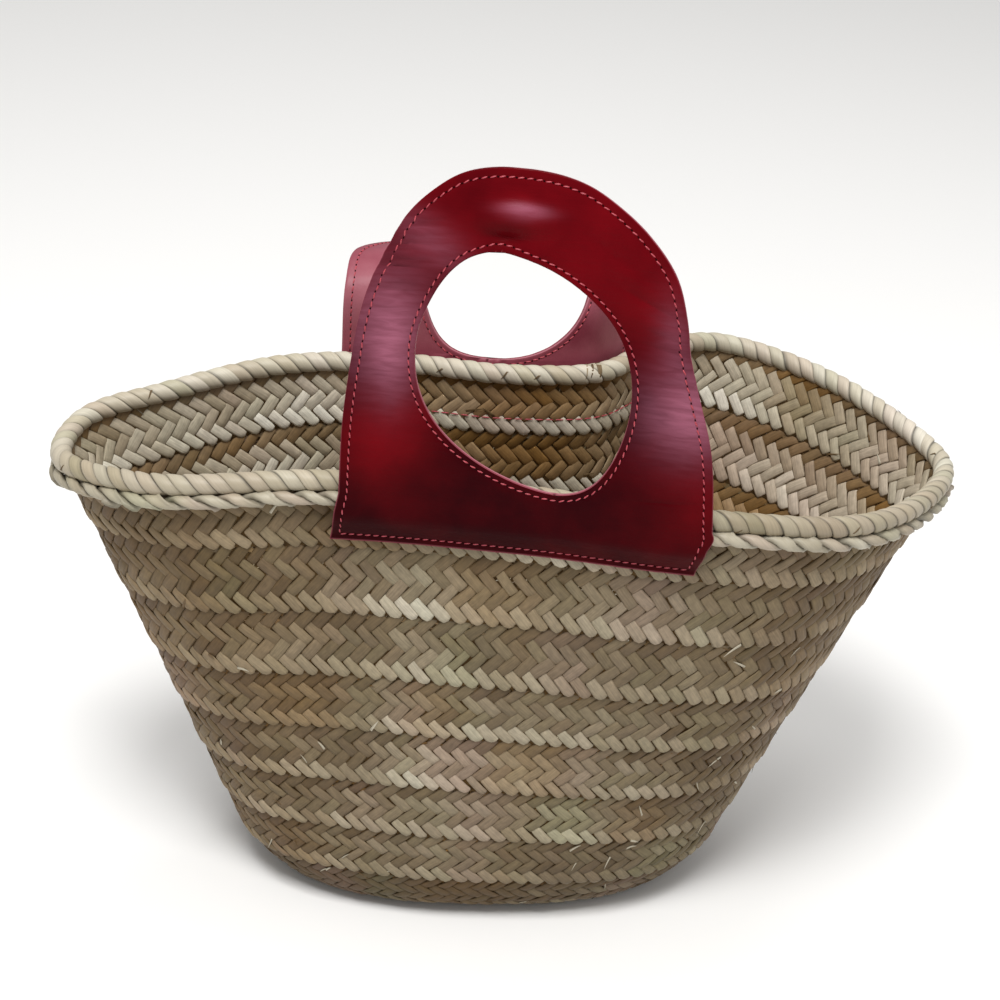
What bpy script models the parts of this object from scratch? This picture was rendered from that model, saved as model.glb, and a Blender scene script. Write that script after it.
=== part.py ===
# A straw basket bag with two leather handles, in metres with +Z up.
# It stands on the middle of its oval base, its length runs along X and its front faces -Y.

import math
from collections import namedtuple

import bmesh
import bpy
import numpy as np

for old in list(bpy.data.objects):
    bpy.data.objects.remove(old)

# Basket
rim_length = 0.520
rim_depth = 0.245
rim_height = 0.300  # middle of the rim roll, at the handles
rim_drop = 0.026  # how much lower the rim lies at its two ends
rim_tilt = 0.002  # its left end lies this much higher than that, its right end this much lower
rim_shift = 0.008  # the rim's middle lies this far to the right of the base's
base_length = 0.275  # where the walls would meet the floor, without the rounding
base_depth = 0.177
base_rounding = 0.038
base_squareness = 2.25
wall = 0.003
wall_flare = 0.0005  # how far the wall curves in below the rim
flare_place = 0.6  # under 1 brings that curve nearer to the rim
course_height = 0.037  # one turn of the plaited band
ledge = 0.0012  # how far a course stands out over the one below it
ledge_turn = 0.0022  # height over which its lower edge turns in

# Rim
binding_radius = 0.0060
cord_radius = 0.0039

# Handles
handle_width = 0.204
handle_standing = 0.186  # from the rim to the top, along the leather
front_sewn = 0.0335  # from the rim to the bottom edge, along the leather
back_sewn = 0.041
front_place = 0.0088  # middle of the handle, to the right of the bag's
back_place = 0.0107
hole_width = 0.115
hole_height = 0.131
hole_above_edge = 0.044  # from the bottom edge of the leather
leather = 0.0015  # each of the two layers
ramp = 0.019  # length over which the leather comes down from the cord to the wall

# Clearances
seat_gap = 0.0003
leather_gap = 0.0008

# Fineness of the meshes
around = 76
steps_in_hole = 10
steps_in_sewn_part = 7
steps_in_arch = 5
columns_in_limb = 5
sharp_edge = 32  # degrees; flatter edges are shaded smooth
inner_rings = (0.97, 0.93, 0.88, 0.8, 0.7, 0.55, 0.4, 0.22)  # shares of the wall's length, from the floor up
lowest_rings = (0.25, 0.5, 0.75)  # shares of the lowest course

# The rim from above, anticlockwise from its right end, in shares of half its length and half its depth.
# The back is pulled straight where the handle holds it and swells out to the right of it.
RimPoint = namedtuple("RimPoint", "along across")
rim_outline = (
    RimPoint(0.99, 0.02),
    RimPoint(0.91, 0.48),
    RimPoint(0.75, 0.87),
    RimPoint(0.52, 1.06),
    RimPoint(0.35, 0.83),
    RimPoint(0.21, 0.53),
    RimPoint(0.00, 0.46),
    RimPoint(-0.23, 0.57),
    RimPoint(-0.50, 0.62),
    RimPoint(-0.79, 0.42),
    RimPoint(-0.955, 0.27),
    RimPoint(-1.00, -0.14),
    RimPoint(-0.83, -0.50),
    RimPoint(-0.41, -0.645),
    RimPoint(0.00, -0.82),
    RimPoint(0.40, -0.94),
    RimPoint(0.69, -0.83),
    RimPoint(0.905, -0.40),
)

# Outline of the leather, seen from outside: height in shares of the standing height, below the rim
# in shares of the sewn depth, and the two edges in shares of half the width.
Outline = namedtuple("Outline", "rise left right")
front_outline = (
    Outline(-1.00, -1.09, 0.91),
    Outline(0.00, -1.02, 0.96),
    Outline(0.25, -1.01, 0.91),
    Outline(0.42, -0.98, 0.82),
    Outline(0.51, -0.96, 0.77),
    Outline(0.63, -0.91, 0.73),
    Outline(0.75, -0.82, 0.66),
    Outline(0.86, -0.71, 0.50),
    Outline(0.93, -0.58, 0.33),
    Outline(0.975, -0.44, 0.165),
    Outline(1.00, -0.28, 0.00),
)
back_outline = (
    Outline(-1.00, -1.04, 0.97),
    Outline(0.00, -1.04, 0.96),
    Outline(0.25, -1.03, 0.95),
    Outline(0.42, -0.97, 0.91),
    Outline(0.51, -0.86, 0.86),
    Outline(0.63, -0.75, 0.79),
    Outline(0.75, -0.65, 0.69),
    Outline(0.86, -0.53, 0.55),
    Outline(0.93, -0.39, 0.41),
    Outline(0.975, -0.25, 0.27),
    Outline(1.00, -0.10, 0.12),
)

# How the leather stands: lean in degrees outwards from upright, by shares of the standing height.
# The front handle stands nearly straight, the back one is folded over outwards.
Lean = namedtuple("Lean", "rise degrees")
front_lean = (Lean(0.0, 4), Lean(0.12, -3), Lean(0.5, -4), Lean(0.8, -8), Lean(1.0, -14))
back_lean = (Lean(0.0, 4), Lean(0.10, -2), Lean(0.17, 6), Lean(0.29, 58), Lean(0.40, 88), Lean(1.0, 92))

# Soft swellings and hollows of the leather, in shares of half the width and of the standing height.
Swelling = namedtuple("Swelling", "across rise width height depth")
front_swellings = (
    Swelling(across=-0.17, rise=0.86, width=0.015, height=0.008, depth=0.0045),
    Swelling(across=-0.20, rise=0.79, width=0.013, height=0.007, depth=-0.0040),
    Swelling(across=0.60, rise=0.55, width=0.030, height=0.020, depth=-0.0030),
)
back_swellings = (Swelling(across=0.0, rise=0.80, width=0.030, height=0.030, depth=0.0030),)

# Colours, linear
straw_colour = (0.42, 0.35, 0.22)
binding_colour = (0.68, 0.62, 0.45)
cord_colour = (0.66, 0.60, 0.42)
lining_colour = (0.22, 0.05, 0.08)
panel_colour = (0.14, 0.008, 0.014)
straw_roughness = 0.75
leather_roughness = 0.35

up = np.array([0.0, 0.0, 1.0])


def smooth_table(rows, column, at):
    # A smooth curve through one column of a table, read by the table's first column.
    xs = np.array([row[0] for row in rows], float)
    ys = np.array([getattr(row, column) for row in rows], float)
    slopes = np.gradient(ys, xs)
    at = np.clip(at, xs[0], xs[-1])
    i = np.clip(np.searchsorted(xs, at, side="right") - 1, 0, len(xs) - 2)
    span = xs[i + 1] - xs[i]
    t = (at - xs[i]) / span
    start, end = ys[i], ys[i + 1]
    rising, arriving = slopes[i] * span, slopes[i + 1] * span
    bend = 2 * start - 2 * end + rising + arriving
    return start + t * (rising + t * (3 * (end - start) - 2 * rising - arriving + t * bend))


def smooth_loop(points, samples_in_span=24):
    # A closed smooth curve through the points, as many short steps.
    points = np.array(points, float)
    following = np.roll(points, -1, axis=0)
    step = np.linalg.norm(following - points, axis=1)[:, None]
    before = np.roll(step, 1, axis=0)
    ahead = (following - points) / step
    slope = (ahead * before + np.roll(ahead, 1, axis=0) * step) / (step + before)
    found = []
    for i, point in enumerate(points):
        j = (i + 1) % len(points)
        for t in np.linspace(0, 1, samples_in_span, endpoint=False):
            found.append(
                point * (1 + t * t * (2 * t - 3))
                + points[j] * t * t * (3 - 2 * t)
                + slope[i] * step[i] * t * (1 - t) ** 2
                + slope[j] * step[i] * t * t * (t - 1)
            )
    return np.array(found)


def smooth_step(t):
    t = np.clip(t, 0, 1)
    return t * t * (3 - 2 * t)


def unit(vector):
    return vector / np.linalg.norm(vector)


class Rim:
    # The middle of the rim roll, read by the distance along it, anticlockwise from its right end.

    def __init__(self):
        half = np.array([rim_length / 2, rim_depth / 2])
        flat = smooth_loop([np.array(row) * half for row in rim_outline])
        height = rim_height - rim_drop * (flat[:, 0] / half[0]) ** 2 - rim_tilt * flat[:, 0] / half[0]
        self.points = np.column_stack([flat[:, 0] + rim_shift, flat[:, 1], height])
        closed = np.vstack([self.points, self.points[:1]])
        self.distance = np.append(0, np.cumsum(np.linalg.norm(np.diff(closed, axis=0), axis=1)))
        self.closed = closed
        self.length = self.distance[-1]

    def at(self, distance):
        distance = distance % self.length
        return np.array([np.interp(distance, self.distance, self.closed[:, i]) for i in range(3)])

    def outward(self, distance, reach=0.006):
        along = self.at(distance + reach) - self.at(distance - reach)
        return unit(np.array([along[1], -along[0], 0.0]))

    def middle_of(self, side):
        # The distance at which the rim crosses X = 0 on the side of the given sign of Y.
        x, y = self.points[:, 0] * side, self.points[:, 1] * side
        before = np.flatnonzero((x > 0) & (np.roll(x, -1) <= 0) & (y > 0))[0]
        share = x[before] / (x[before] - x[(before + 1) % len(x)])
        return self.distance[before] + share * (self.distance[before + 1] - self.distance[before])


rim = Rim()


def base_corner(rim_point):
    # Where the middle of the wall below this rim point would meet the floor.
    turn = math.atan2(rim_point[1] / rim_depth, rim_point[0] / rim_length)
    power = 2 / base_squareness
    x = math.copysign(abs(math.cos(turn)) ** power, math.cos(turn)) * base_length / 2
    y = math.copysign(abs(math.sin(turn)) ** power, math.sin(turn)) * base_depth / 2
    return np.array([x, y, wall / 2])


class Section:
    # The middle of the wall below one point of the rim, down to the flat floor: nearly straight, then round.

    def __init__(self, distance, samples=40):
        top = rim.at(distance)
        corner = base_corner(top)
        out = rim.outward(distance)
        self.top = top
        self.down = unit(corner - top)
        self.out = unit(out - self.down * (out @ self.down))
        straight = np.linalg.norm(corner - top) - base_rounding
        bend_start = top + self.down * straight
        floor_edge = corner - unit(corner * (1, 1, 0)) * base_rounding
        t = np.linspace(0, 1, samples, endpoint=False)[:, None]
        fall = top + self.down * straight * t - self.out * wall_flare * np.sin(math.pi * t**flare_place)
        t = np.linspace(0, 1, samples)[:, None]
        bend = bend_start * (1 - t) ** 2 + corner * 2 * t * (1 - t) + floor_edge * t**2
        self.line = np.vstack([fall, bend])
        self.distance = np.append(0, np.cumsum(np.linalg.norm(np.diff(self.line, axis=0), axis=1)))
        self.length = self.distance[-1]

    def at(self, share):
        return np.array([np.interp(share * self.length, self.distance, self.line[:, i]) for i in range(3)])


ring_distances = [rim.length * i / around for i in range(around)]
sections = [Section(distance) for distance in ring_distances]
wall_length = min(section.length for section in sections)
courses = max(3, round(wall_length / course_height))
top_share = (binding_radius + seat_gap) / wall_length


def ledge_height(share):
    # Each course slopes out towards its lower edge, and the last one lies under the floor's rounding.
    course = min(int(share * courses), courses - 1)
    return 0.0 if course == courses - 1 else ledge * (share * courses - course)


def wall_ring(share, lift):
    # One closed ring on the wall, lifted off its middle along the wall's own normal.
    reach = 0.004
    here = np.array([section.at(share) for section in sections])
    above = np.array([section.at(max(share - reach, 0)) for section in sections])
    below = np.array([section.at(min(share + reach, 1)) for section in sections])
    along = np.roll(here, -1, axis=0) - np.roll(here, 1, axis=0)
    normal = np.cross(below - above, along)
    normal /= np.linalg.norm(normal, axis=1)[:, None]
    return here + normal * lift


def add_object(name, data, colour, roughness):
    material = bpy.data.materials.new(name)
    material.use_nodes = True
    shader = material.node_tree.nodes["Principled BSDF"]
    shader.inputs["Base Color"].default_value = (*colour, 1)
    shader.inputs["Roughness"].default_value = roughness
    data.materials.append(material)
    made = bpy.data.objects.new(name, data)
    bpy.context.scene.collection.objects.link(made)
    return made


def finish_mesh(bm, name):
    mesh = bpy.data.meshes.new(name)
    bm.to_mesh(mesh)
    bm.free()
    mesh.shade_smooth()
    mesh.set_sharp_from_angle(angle=math.radians(sharp_edge))
    return mesh


def make_body():
    # The plaited body: an outer skin in courses, an inner skin and a flat floor, closed along the top.
    rings = [wall_ring(top_share, wall / 2)]
    step = ledge_turn / wall_length
    for course in range(courses - 1):
        edge = (course + 1) / courses
        if course > courses - 4:
            middle = edge - 0.5 / courses
            rings.append(wall_ring(middle, wall / 2 + ledge_height(middle)))
        rings.append(wall_ring(edge - step, wall / 2 + ledge))
        rings.append(wall_ring(edge + step, wall / 2))
    for share in lowest_rings:
        rings.append(wall_ring(1 - (1 - share) / courses, wall / 2))
    floor = wall_ring(1, 0)
    rings.append(floor * (1, 1, 0))
    inner = [floor * (1, 1, 0) + up * wall]
    inner += [wall_ring(share, -wall / 2) for share in (*inner_rings, top_share)]

    bm = bmesh.new()
    loops = [[bm.verts.new(point) for point in ring] for ring in rings + inner]
    for i in list(range(len(rings) - 1)) + list(range(len(rings), len(loops) - 1)):
        bridge(bm, loops[i], loops[i + 1])
    bridge(bm, loops[-1], loops[0])
    bm.faces.new(loops[len(rings) - 1])
    bm.faces.new(loops[len(rings)])
    bmesh.ops.recalc_face_normals(bm, faces=bm.faces)
    add_object("straw_body", finish_mesh(bm, "straw_body"), straw_colour, straw_roughness)


def bridge(bm, upper, lower):
    for i in range(len(upper)):
        j = (i + 1) % len(upper)
        bm.faces.new((upper[i], lower[i], lower[j], upper[j]))


def make_ring_tube(name, points, radius, colour):
    curve = bpy.data.curves.new(name, "CURVE")
    curve.dimensions = "3D"
    curve.bevel_depth = radius
    curve.bevel_resolution = 2
    spline = curve.splines.new("POLY")
    spline.points.add(len(points) - 1)
    for place, point in zip(spline.points, points):
        place.co = (*point, 1)
    spline.use_cyclic_u = True
    add_object(name, curve, colour, straw_roughness)


cord_fall = math.sqrt((binding_radius + seat_gap + cord_radius) ** 2 - (wall / 2 + seat_gap + cord_radius) ** 2)
cord_share = cord_fall / wall_length
cord_lift = wall / 2 + ledge_height(cord_share) + seat_gap + cord_radius


def make_binding():
    points = [section.top for section in sections]
    make_ring_tube("rim_binding", points, binding_radius, binding_colour)


def make_cord():
    points = [section.top + section.down * cord_fall + section.out * cord_lift for section in sections]
    make_ring_tube("rim_cord", points, cord_radius, cord_colour)


# A handle: which side it is on, where it is sewn, and how it is cut and bent. The hole leans by its skew,
# and a taper over 1 makes its ends more pointed.
Handle = namedtuple("Handle", "name side place sewn outline lean swellings hole_skew hole_taper")
handles = (
    Handle(
        name="handle_front",
        side=-1,
        place=front_place,
        sewn=front_sewn,
        outline=front_outline,
        lean=front_lean,
        swellings=front_swellings,
        hole_skew=0.017,
        hole_taper=1.1,
    ),
    Handle(
        name="handle_back",
        side=1,
        place=back_place,
        sewn=back_sewn,
        outline=back_outline,
        lean=back_lean,
        swellings=back_swellings,
        hole_skew=-0.012,
        hole_taper=0.7,
    ),
)


class Leather:
    # The surface on which a handle's two layers lie, by the distance across and along the leather.

    def __init__(self, handle):
        self.handle = handle
        self.middle = rim.middle_of(handle.side) - handle.side * handle.place
        self.out = rim.outward(self.middle)
        steps = np.linspace(0, 1, 400)
        lean = np.radians(smooth_table(handle.lean, "degrees", steps))
        length = np.diff(steps, prepend=0)[:, None] * handle_standing
        self.steps = steps * handle_standing
        self.lean = lean
        ahead = np.sin(lean)[:, None] * self.out + np.cos(lean)[:, None] * up
        self.path = np.cumsum(ahead * length, axis=0)
        self.facing = np.cos(lean)[:, None] * self.out - np.sin(lean)[:, None] * up

    def off_wall(self, along):
        # Distance of the leather's inner face from the middle of the wall: over the cord, then down to the wall.
        on_cord = cord_lift + cord_radius + leather_gap
        on_wall = wall / 2 + ledge + leather_gap
        cord_low = cord_fall + cord_radius
        return on_wall + (on_cord - on_wall) * smooth_step(1 - (-along - cord_low) / ramp)

    def inner_face(self, across, along):
        # Across runs towards +X on both sides of the bag.
        section = Section(self.middle - self.handle.side * across)
        if along <= 0:
            return section.top - section.down * along + section.out * self.off_wall(along)
        start = section.top + section.out * self.off_wall(0)
        risen = np.array([np.interp(along, self.steps, self.path[:, i]) for i in range(3)])
        facing = np.array([np.interp(along, self.steps, self.facing[:, i]) for i in range(3)])
        return start + risen + facing * self.swelling(across, along)

    def swelling(self, across, along):
        total = 0.0
        for row in self.handle.swellings:
            dx = (across - row.across * handle_width / 2) / row.width
            dy = (along - row.rise * handle_standing) / row.height
            total += row.depth * math.exp(-dx * dx - dy * dy)
        return total

    def point(self, across, along, lift):
        # A point lifted off the leather's inner face, along the way that the leather faces there.
        reach = 0.001
        here = self.inner_face(across, along)
        wide = self.inner_face(across + reach, along) - self.inner_face(across - reach, along)
        tall = self.inner_face(across, along + reach) - self.inner_face(across, along - reach)
        facing = unit(np.cross(wide, tall)) * -self.handle.side
        return here + facing * lift


def cut_of(handle):
    # The cut of the leather as rows across it: left edge, left and right of the hole, right edge, height.
    low = hole_above_edge - handle.sewn
    high = low + hole_height
    middle = (low + high) / 2
    levels = [(along, 0.0) for along in np.linspace(-handle.sewn, low, steps_in_sewn_part + 1)]
    for i in range(1, steps_in_hole):
        turn = math.pi * i / steps_in_hole
        levels.append((middle - hole_height / 2 * math.cos(turn), math.sin(turn) ** handle.hole_taper))
    for i in range(steps_in_arch + 1):
        levels.append((high + (handle_standing - high) * math.sin(math.pi / 2 * i / steps_in_arch), 0.0))
    rows = []
    for along, opening in levels:
        rise = along / handle_standing if along > 0 else along / handle.sewn
        left = smooth_table(handle.outline, "left", rise) * handle_width / 2
        right = smooth_table(handle.outline, "right", rise) * handle_width / 2
        t = np.clip((along - middle) / (hole_height / 2), -1, 1)
        centre = (left + right) / 2 - handle.hole_skew * t**3
        rows.append((left, centre - opening * hole_width / 2, centre + opening * hole_width / 2, right, along))
    return rows


def make_layer(handle, name, lift, colour):
    # One layer of the leather: a sheet with the hole left out, the same sheet again one thickness further out,
    # and a strip along every edge between the two.
    surface = Leather(handle)
    bm = bmesh.new()
    outer = {}
    before = ()
    for left, hole_left, hole_right, right, along in cut_of(handle):
        limbs = []
        for start, end in ((left, hole_left), (hole_right, right)):
            places = np.linspace(start, end, columns_in_limb + 1)
            limb = [bm.verts.new(surface.point(across, along, lift)) for across in places]
            outer.update({limb[i]: surface.point(places[i], along, lift + leather) for i in range(len(limb))})
            limbs.append((limb, places))
        if hole_left == hole_right:
            outer.pop(limbs[1][0][0])
            bm.verts.remove(limbs[1][0][0])
            limbs[1][0][0] = limbs[0][0][-1]
        for (upper, places), (lower, lower_places) in zip(limbs, before):
            for i in range(columns_in_limb):
                rising = abs(places[i + 1] - lower_places[i]) < abs(places[i] - lower_places[i + 1])
                bm.faces.new((lower[i], lower[i + 1], upper[i + 1] if rising else upper[i]))
                bm.faces.new((lower[i] if rising else lower[i + 1], upper[i + 1], upper[i]))
        before = limbs
    edges = [tuple(edge.verts) for edge in bm.edges if edge.is_boundary]
    outer = {vertex: bm.verts.new(point) for vertex, point in outer.items()}
    for face in list(bm.faces):
        bm.faces.new([outer[vertex] for vertex in face.verts])
    for first, second in edges:
        bm.faces.new((first, second, outer[second], outer[first]))
    bmesh.ops.recalc_face_normals(bm, faces=bm.faces)
    add_object(name, finish_mesh(bm, name), colour, leather_roughness)


def make_handles():
    for handle in handles:
        make_layer(handle, handle.name + "_lining", 0.0, lining_colour)
        make_layer(handle, handle.name + "_panel", leather + seat_gap, panel_colour)


make_body()
make_binding()
make_cord()
make_handles()
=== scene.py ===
import math

import bpy
import numpy as np
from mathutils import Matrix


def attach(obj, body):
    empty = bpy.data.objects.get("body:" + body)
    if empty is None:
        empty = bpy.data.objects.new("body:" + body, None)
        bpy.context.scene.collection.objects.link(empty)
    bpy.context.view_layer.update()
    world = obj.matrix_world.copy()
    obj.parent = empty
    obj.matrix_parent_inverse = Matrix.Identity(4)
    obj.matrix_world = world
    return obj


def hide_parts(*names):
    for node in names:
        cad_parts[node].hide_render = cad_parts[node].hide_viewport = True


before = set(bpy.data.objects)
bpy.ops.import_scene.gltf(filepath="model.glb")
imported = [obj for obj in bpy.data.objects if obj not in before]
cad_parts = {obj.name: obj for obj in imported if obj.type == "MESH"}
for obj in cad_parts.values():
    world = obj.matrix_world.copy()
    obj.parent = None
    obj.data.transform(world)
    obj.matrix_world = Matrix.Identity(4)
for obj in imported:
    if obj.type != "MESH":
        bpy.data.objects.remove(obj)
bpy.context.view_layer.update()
print("frame loaded:", ", ".join(sorted(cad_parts)))

# small helpers


def linear(hexColour):
    # sRGB hex to the linear colour that shaders take
    parts = [int(hexColour[i:i + 2], 16) / 255 for i in (1, 3, 5)]
    return tuple(c / 12.92 if c <= 0.04045 else ((c + 0.055) / 1.055) ** 2.4 for c in parts) + (1.0,)


def addNode(material, kind, settings=None, links=None):
    node = material.node_tree.nodes.new("ShaderNode" + kind)
    for name, value in (settings or {}).items():
        if name == "stops":  # the stops of a colour ramp, as (place, hex colour)
            ramp = node.color_ramp.elements
            ramp.remove(ramp[1])
            ramp[0].position, ramp[0].color = value[0][0], linear(value[0][1])
            for place, colour in value[1:]:
                ramp.new(place).color = linear(colour)
        elif isinstance(name, int) or name in node.inputs:
            node.inputs[name].default_value = value
        else:
            setattr(node, name, value)
    for name, source in (links or {}).items():
        join(material, source, name, node)
    return node


def newFinish(name, settings):
    material = bpy.data.materials.new(name)
    material.use_nodes = True
    for key, value in settings.items():
        material.node_tree.nodes["Principled BSDF"].inputs[key].default_value = value
    return material


def join(material, source, socket, node=None):
    # links an output, or a node's first one, to a socket of a node or of the material's own shader
    node = node or material.node_tree.nodes["Principled BSDF"]
    output = source.outputs[0] if hasattr(source, "outputs") else source
    material.node_tree.links.new(output, node.inputs[socket])


def takeShape(made):
    # the points and faces of what was modelled; the object itself isn't kept
    points = np.array([vertex.co for vertex in made.data.vertices])
    faces = [tuple(face.vertices) for face in made.data.polygons]
    bpy.data.objects.remove(made)
    return points, faces


def repeatFaces(faces, size, count):
    # the faces of one shape of so many points, again for each of its copies
    starts = range(0, count * size, size)
    return [tuple(corner + start for corner in face) for start in starts for face in faces]


def gridFaces(index, i, j):
    # four-cornered faces between neighbours of a grid
    corners = [index(i, j), index(i + 1, j), index(i + 1, j + 1), index(i, j + 1)]
    return np.stack(corners, axis=-1).reshape(-1, 4)


def drawnNoise(material, source, scale, settings, turned=0.0):
    # noise drawn out along a surface
    place = addNode(material, "Mapping", {"Scale": scale, "Rotation": (0, 0, turned)}, {"Vector": source})
    return addNode(material, "TexNoise", {"Scale": 1.0, **settings}, {"Vector": place})


def makePiece(name, points, faces, material, replaced, uv=None, colours=None, values=None):
    # one finished piece of the bag: it sits at the origin, rides on the bag and stands for its CAD node
    mesh = bpy.data.meshes.new(name)
    faces = faces if isinstance(faces, list) else faces.tolist()
    mesh.from_pydata(np.asarray(points, float).tolist(), [], faces)
    corners = np.empty(len(mesh.loops), int)
    mesh.loops.foreach_get("vertex_index", corners)
    if uv is not None:
        layer = mesh.uv_layers.new(name="leafUV")
        layer.data.foreach_set("uv", np.asarray(uv, float)[corners].ravel())
    if colours is not None:
        layer = mesh.attributes.new("leafColour", "FLOAT_COLOR", "POINT")
        layer.data.foreach_set("color", np.asarray(colours, float).ravel())
    for key, numbers in (values or {}).items():
        layer = mesh.attributes.new(key, "FLOAT", "POINT")
        layer.data.foreach_set("value", np.asarray(numbers, float).ravel())
    mesh.shade_smooth()
    mesh.materials.append(material)
    piece = bpy.data.objects.new(name, mesh)
    bpy.context.scene.collection.objects.link(piece)
    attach(piece, "root")
    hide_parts(*replaced)
    print("made", name, len(mesh.polygons), "faces")


def unit(vectors):
    return vectors / np.linalg.norm(vectors, axis=-1, keepdims=True)


def smoothTable(rows, column, at):
    # smooth curve through one column of a table, read by its first column
    xs = np.array([row[0] for row in rows], float)
    ys = np.array([row[column] for row in rows], float)
    slopes = np.gradient(ys, xs)
    at = np.clip(at, xs[0], xs[-1])
    i = np.clip(np.searchsorted(xs, at, side="right") - 1, 0, len(xs) - 2)
    span = xs[i + 1] - xs[i]
    t = (at - xs[i]) / span
    start, end = ys[i], ys[i + 1]
    rising, arriving = slopes[i] * span, slopes[i + 1] * span
    return start + t * (rising + t * (3 * (end - start) - 2 * rising - arriving
                                      + t * (2 * start - 2 * end + rising + arriving)))


# the wall that everything is sewn to, the same as the frame's body

bag = {
    "rimLength": 0.520, "rimDepth": 0.245, "rimHeight": 0.300, "rimDrop": 0.026, "rimTilt": 0.002,
    "rimShift": 0.008, "baseLength": 0.275, "baseDepth": 0.177, "baseRounding": 0.038, "baseSquareness": 2.25,
    "wall": 0.003, "wallFlare": 0.0005, "flarePlace": 0.6,
    # where the courses of plait meet, as shares of the wall's length; past 1.0 lies the base
    "courseEnds": (0.0, 0.127, 0.262, 0.394, 0.507, 0.622, 0.730, 0.828, 0.919, 1.0, 1.104, 1.208),
    "rim": ((0.99, 0.02), (0.91, 0.48), (0.75, 0.87), (0.52, 1.06), (0.35, 0.83), (0.21, 0.53), (0.00, 0.46),
            (-0.23, 0.57), (-0.50, 0.62), (-0.79, 0.42), (-0.955, 0.27), (-1.00, -0.14), (-0.83, -0.50),
            (-0.41, -0.645), (0.00, -0.82), (0.40, -0.94), (0.69, -0.83), (0.905, -0.40)),
    "columns": 480, "rows": 150, "floorRows": 30,
}


def smoothLoop(points, samples=24):
    # smooth closed line through the points
    following = np.roll(points, -1, axis=0)
    step = np.linalg.norm(following - points, axis=1)[:, None]
    before = np.roll(step, 1, axis=0)
    ahead = (following - points) / step
    slope = (ahead * before + np.roll(ahead, 1, axis=0) * step) / (step + before)
    t = np.linspace(0, 1, samples, endpoint=False)[None, :, None]
    arriving = np.roll(slope, -1, axis=0) * step
    loop = (points[:, None] * (1 + t * t * (2 * t - 3)) + following[:, None] * t * t * (3 - 2 * t)
            + (slope * step)[:, None] * t * (1 - t) ** 2 + arriving[:, None] * t * t * (t - 1))
    return loop.reshape(-1, 2)


half = np.array([bag["rimLength"], bag["rimDepth"]]) / 2
flatRim = smoothLoop(np.array(bag["rim"]) * half)
reach = flatRim[:, 0] / half[0]
rimLoop = np.column_stack([flatRim[:, 0] + bag["rimShift"], flatRim[:, 1],
                           bag["rimHeight"] - bag["rimDrop"] * reach ** 2 - bag["rimTilt"] * reach])
rimLoop = np.vstack([rimLoop, rimLoop[:1]])
rimDistance = np.append(0, np.cumsum(np.linalg.norm(np.diff(rimLoop, axis=0), axis=1)))
rimRound = rimDistance[-1]


def rimAt(distance):
    return np.stack([np.interp(distance % rimRound, rimDistance, rimLoop[:, i]) for i in range(3)], axis=-1)


def outOfRim(distance):
    # level direction out of the bag, square to a short stretch of the rim
    run = rimAt(distance + 0.006) - rimAt(distance - 0.006)
    return unit(np.stack([run[..., 1], -run[..., 0], np.zeros_like(run[..., 0])], axis=-1))


def buildWall():
    # grid of the wall's middle: columns go round the rim, rows go down the wall and on to the base's seam
    places = rimRound * np.arange(bag["columns"]) / bag["columns"]
    top = rimAt(places)
    out = outOfRim(places)
    turn = np.arctan2(top[:, 1] / bag["rimDepth"], top[:, 0] / bag["rimLength"])
    power = 2 / bag["baseSquareness"]
    corner = np.column_stack([
        np.sign(np.cos(turn)) * abs(np.cos(turn)) ** power * bag["baseLength"] / 2,
        np.sign(np.sin(turn)) * abs(np.sin(turn)) ** power * bag["baseDepth"] / 2,
        0 * turn + bag["wall"] / 2])
    down = unit(corner - top)
    out = unit(out - down * np.sum(out * down, axis=1)[:, None])
    straight = np.linalg.norm(corner - top, axis=1) - bag["baseRounding"]
    bendStart = top + down * straight[:, None]
    floorEdge = corner - unit(corner * (1, 1, 0)) * bag["baseRounding"]
    t = np.linspace(0, 1, 40, endpoint=False)[None, :, None]
    fall = (top[:, None] + down[:, None] * straight[:, None, None] * t
            - out[:, None] * bag["wallFlare"] * np.sin(math.pi * t ** bag["flarePlace"]))
    t = np.linspace(0, 1, 40)[None, :, None]
    bend = bendStart[:, None] * (1 - t) ** 2 + corner[:, None] * 2 * t * (1 - t) + floorEdge[:, None] * t ** 2
    lines = np.concatenate([fall, bend], axis=1)
    shares = np.linspace(0, 1, bag["rows"])
    wallRows = np.empty((bag["columns"], bag["rows"], 3))
    lengths = np.empty(bag["columns"])
    for i, line in enumerate(lines):
        gone = np.append(0, np.cumsum(np.linalg.norm(np.diff(line, axis=0), axis=1)))
        lengths[i] = gone[-1]
        for axis in range(3):
            wallRows[i, :, axis] = np.interp(shares * gone[-1], gone, line[:, axis])
    seamHalf = abs(floorEdge[:, 0]).max() - abs(floorEdge[:, 1]).max()
    seamAcross = np.clip(floorEdge[:, 0], -seamHalf, seamHalf)
    seam = np.column_stack([seamAcross, 0 * turn, 0 * turn + bag["wall"] / 2])
    floorShare = abs(floorEdge[:, 1]).max() / lengths.min()
    t = np.linspace(0, 0.97, bag["floorRows"])[None, 1:, None]
    floorRows = floorEdge[:, None] * (1 - t) + seam[:, None] * t
    grid = np.concatenate([wallRows, floorRows], axis=1).transpose(1, 0, 2)
    allShares = np.append(shares, 1 + floorShare * t.ravel())
    along = np.roll(grid, -1, axis=1) - np.roll(grid, 1, axis=1)
    normal = np.cross(np.gradient(grid, axis=0), along)
    normal[bag["rows"]:] = (0, 0, -1)
    return grid, unit(normal), allShares, top, down, out, lengths.min()


wallGrid, wallNormal, wallShares, rimTop, rimDown, rimOut, wallLength = buildWall()
print("wall built, shortest side", round(wallLength, 4))


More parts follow.
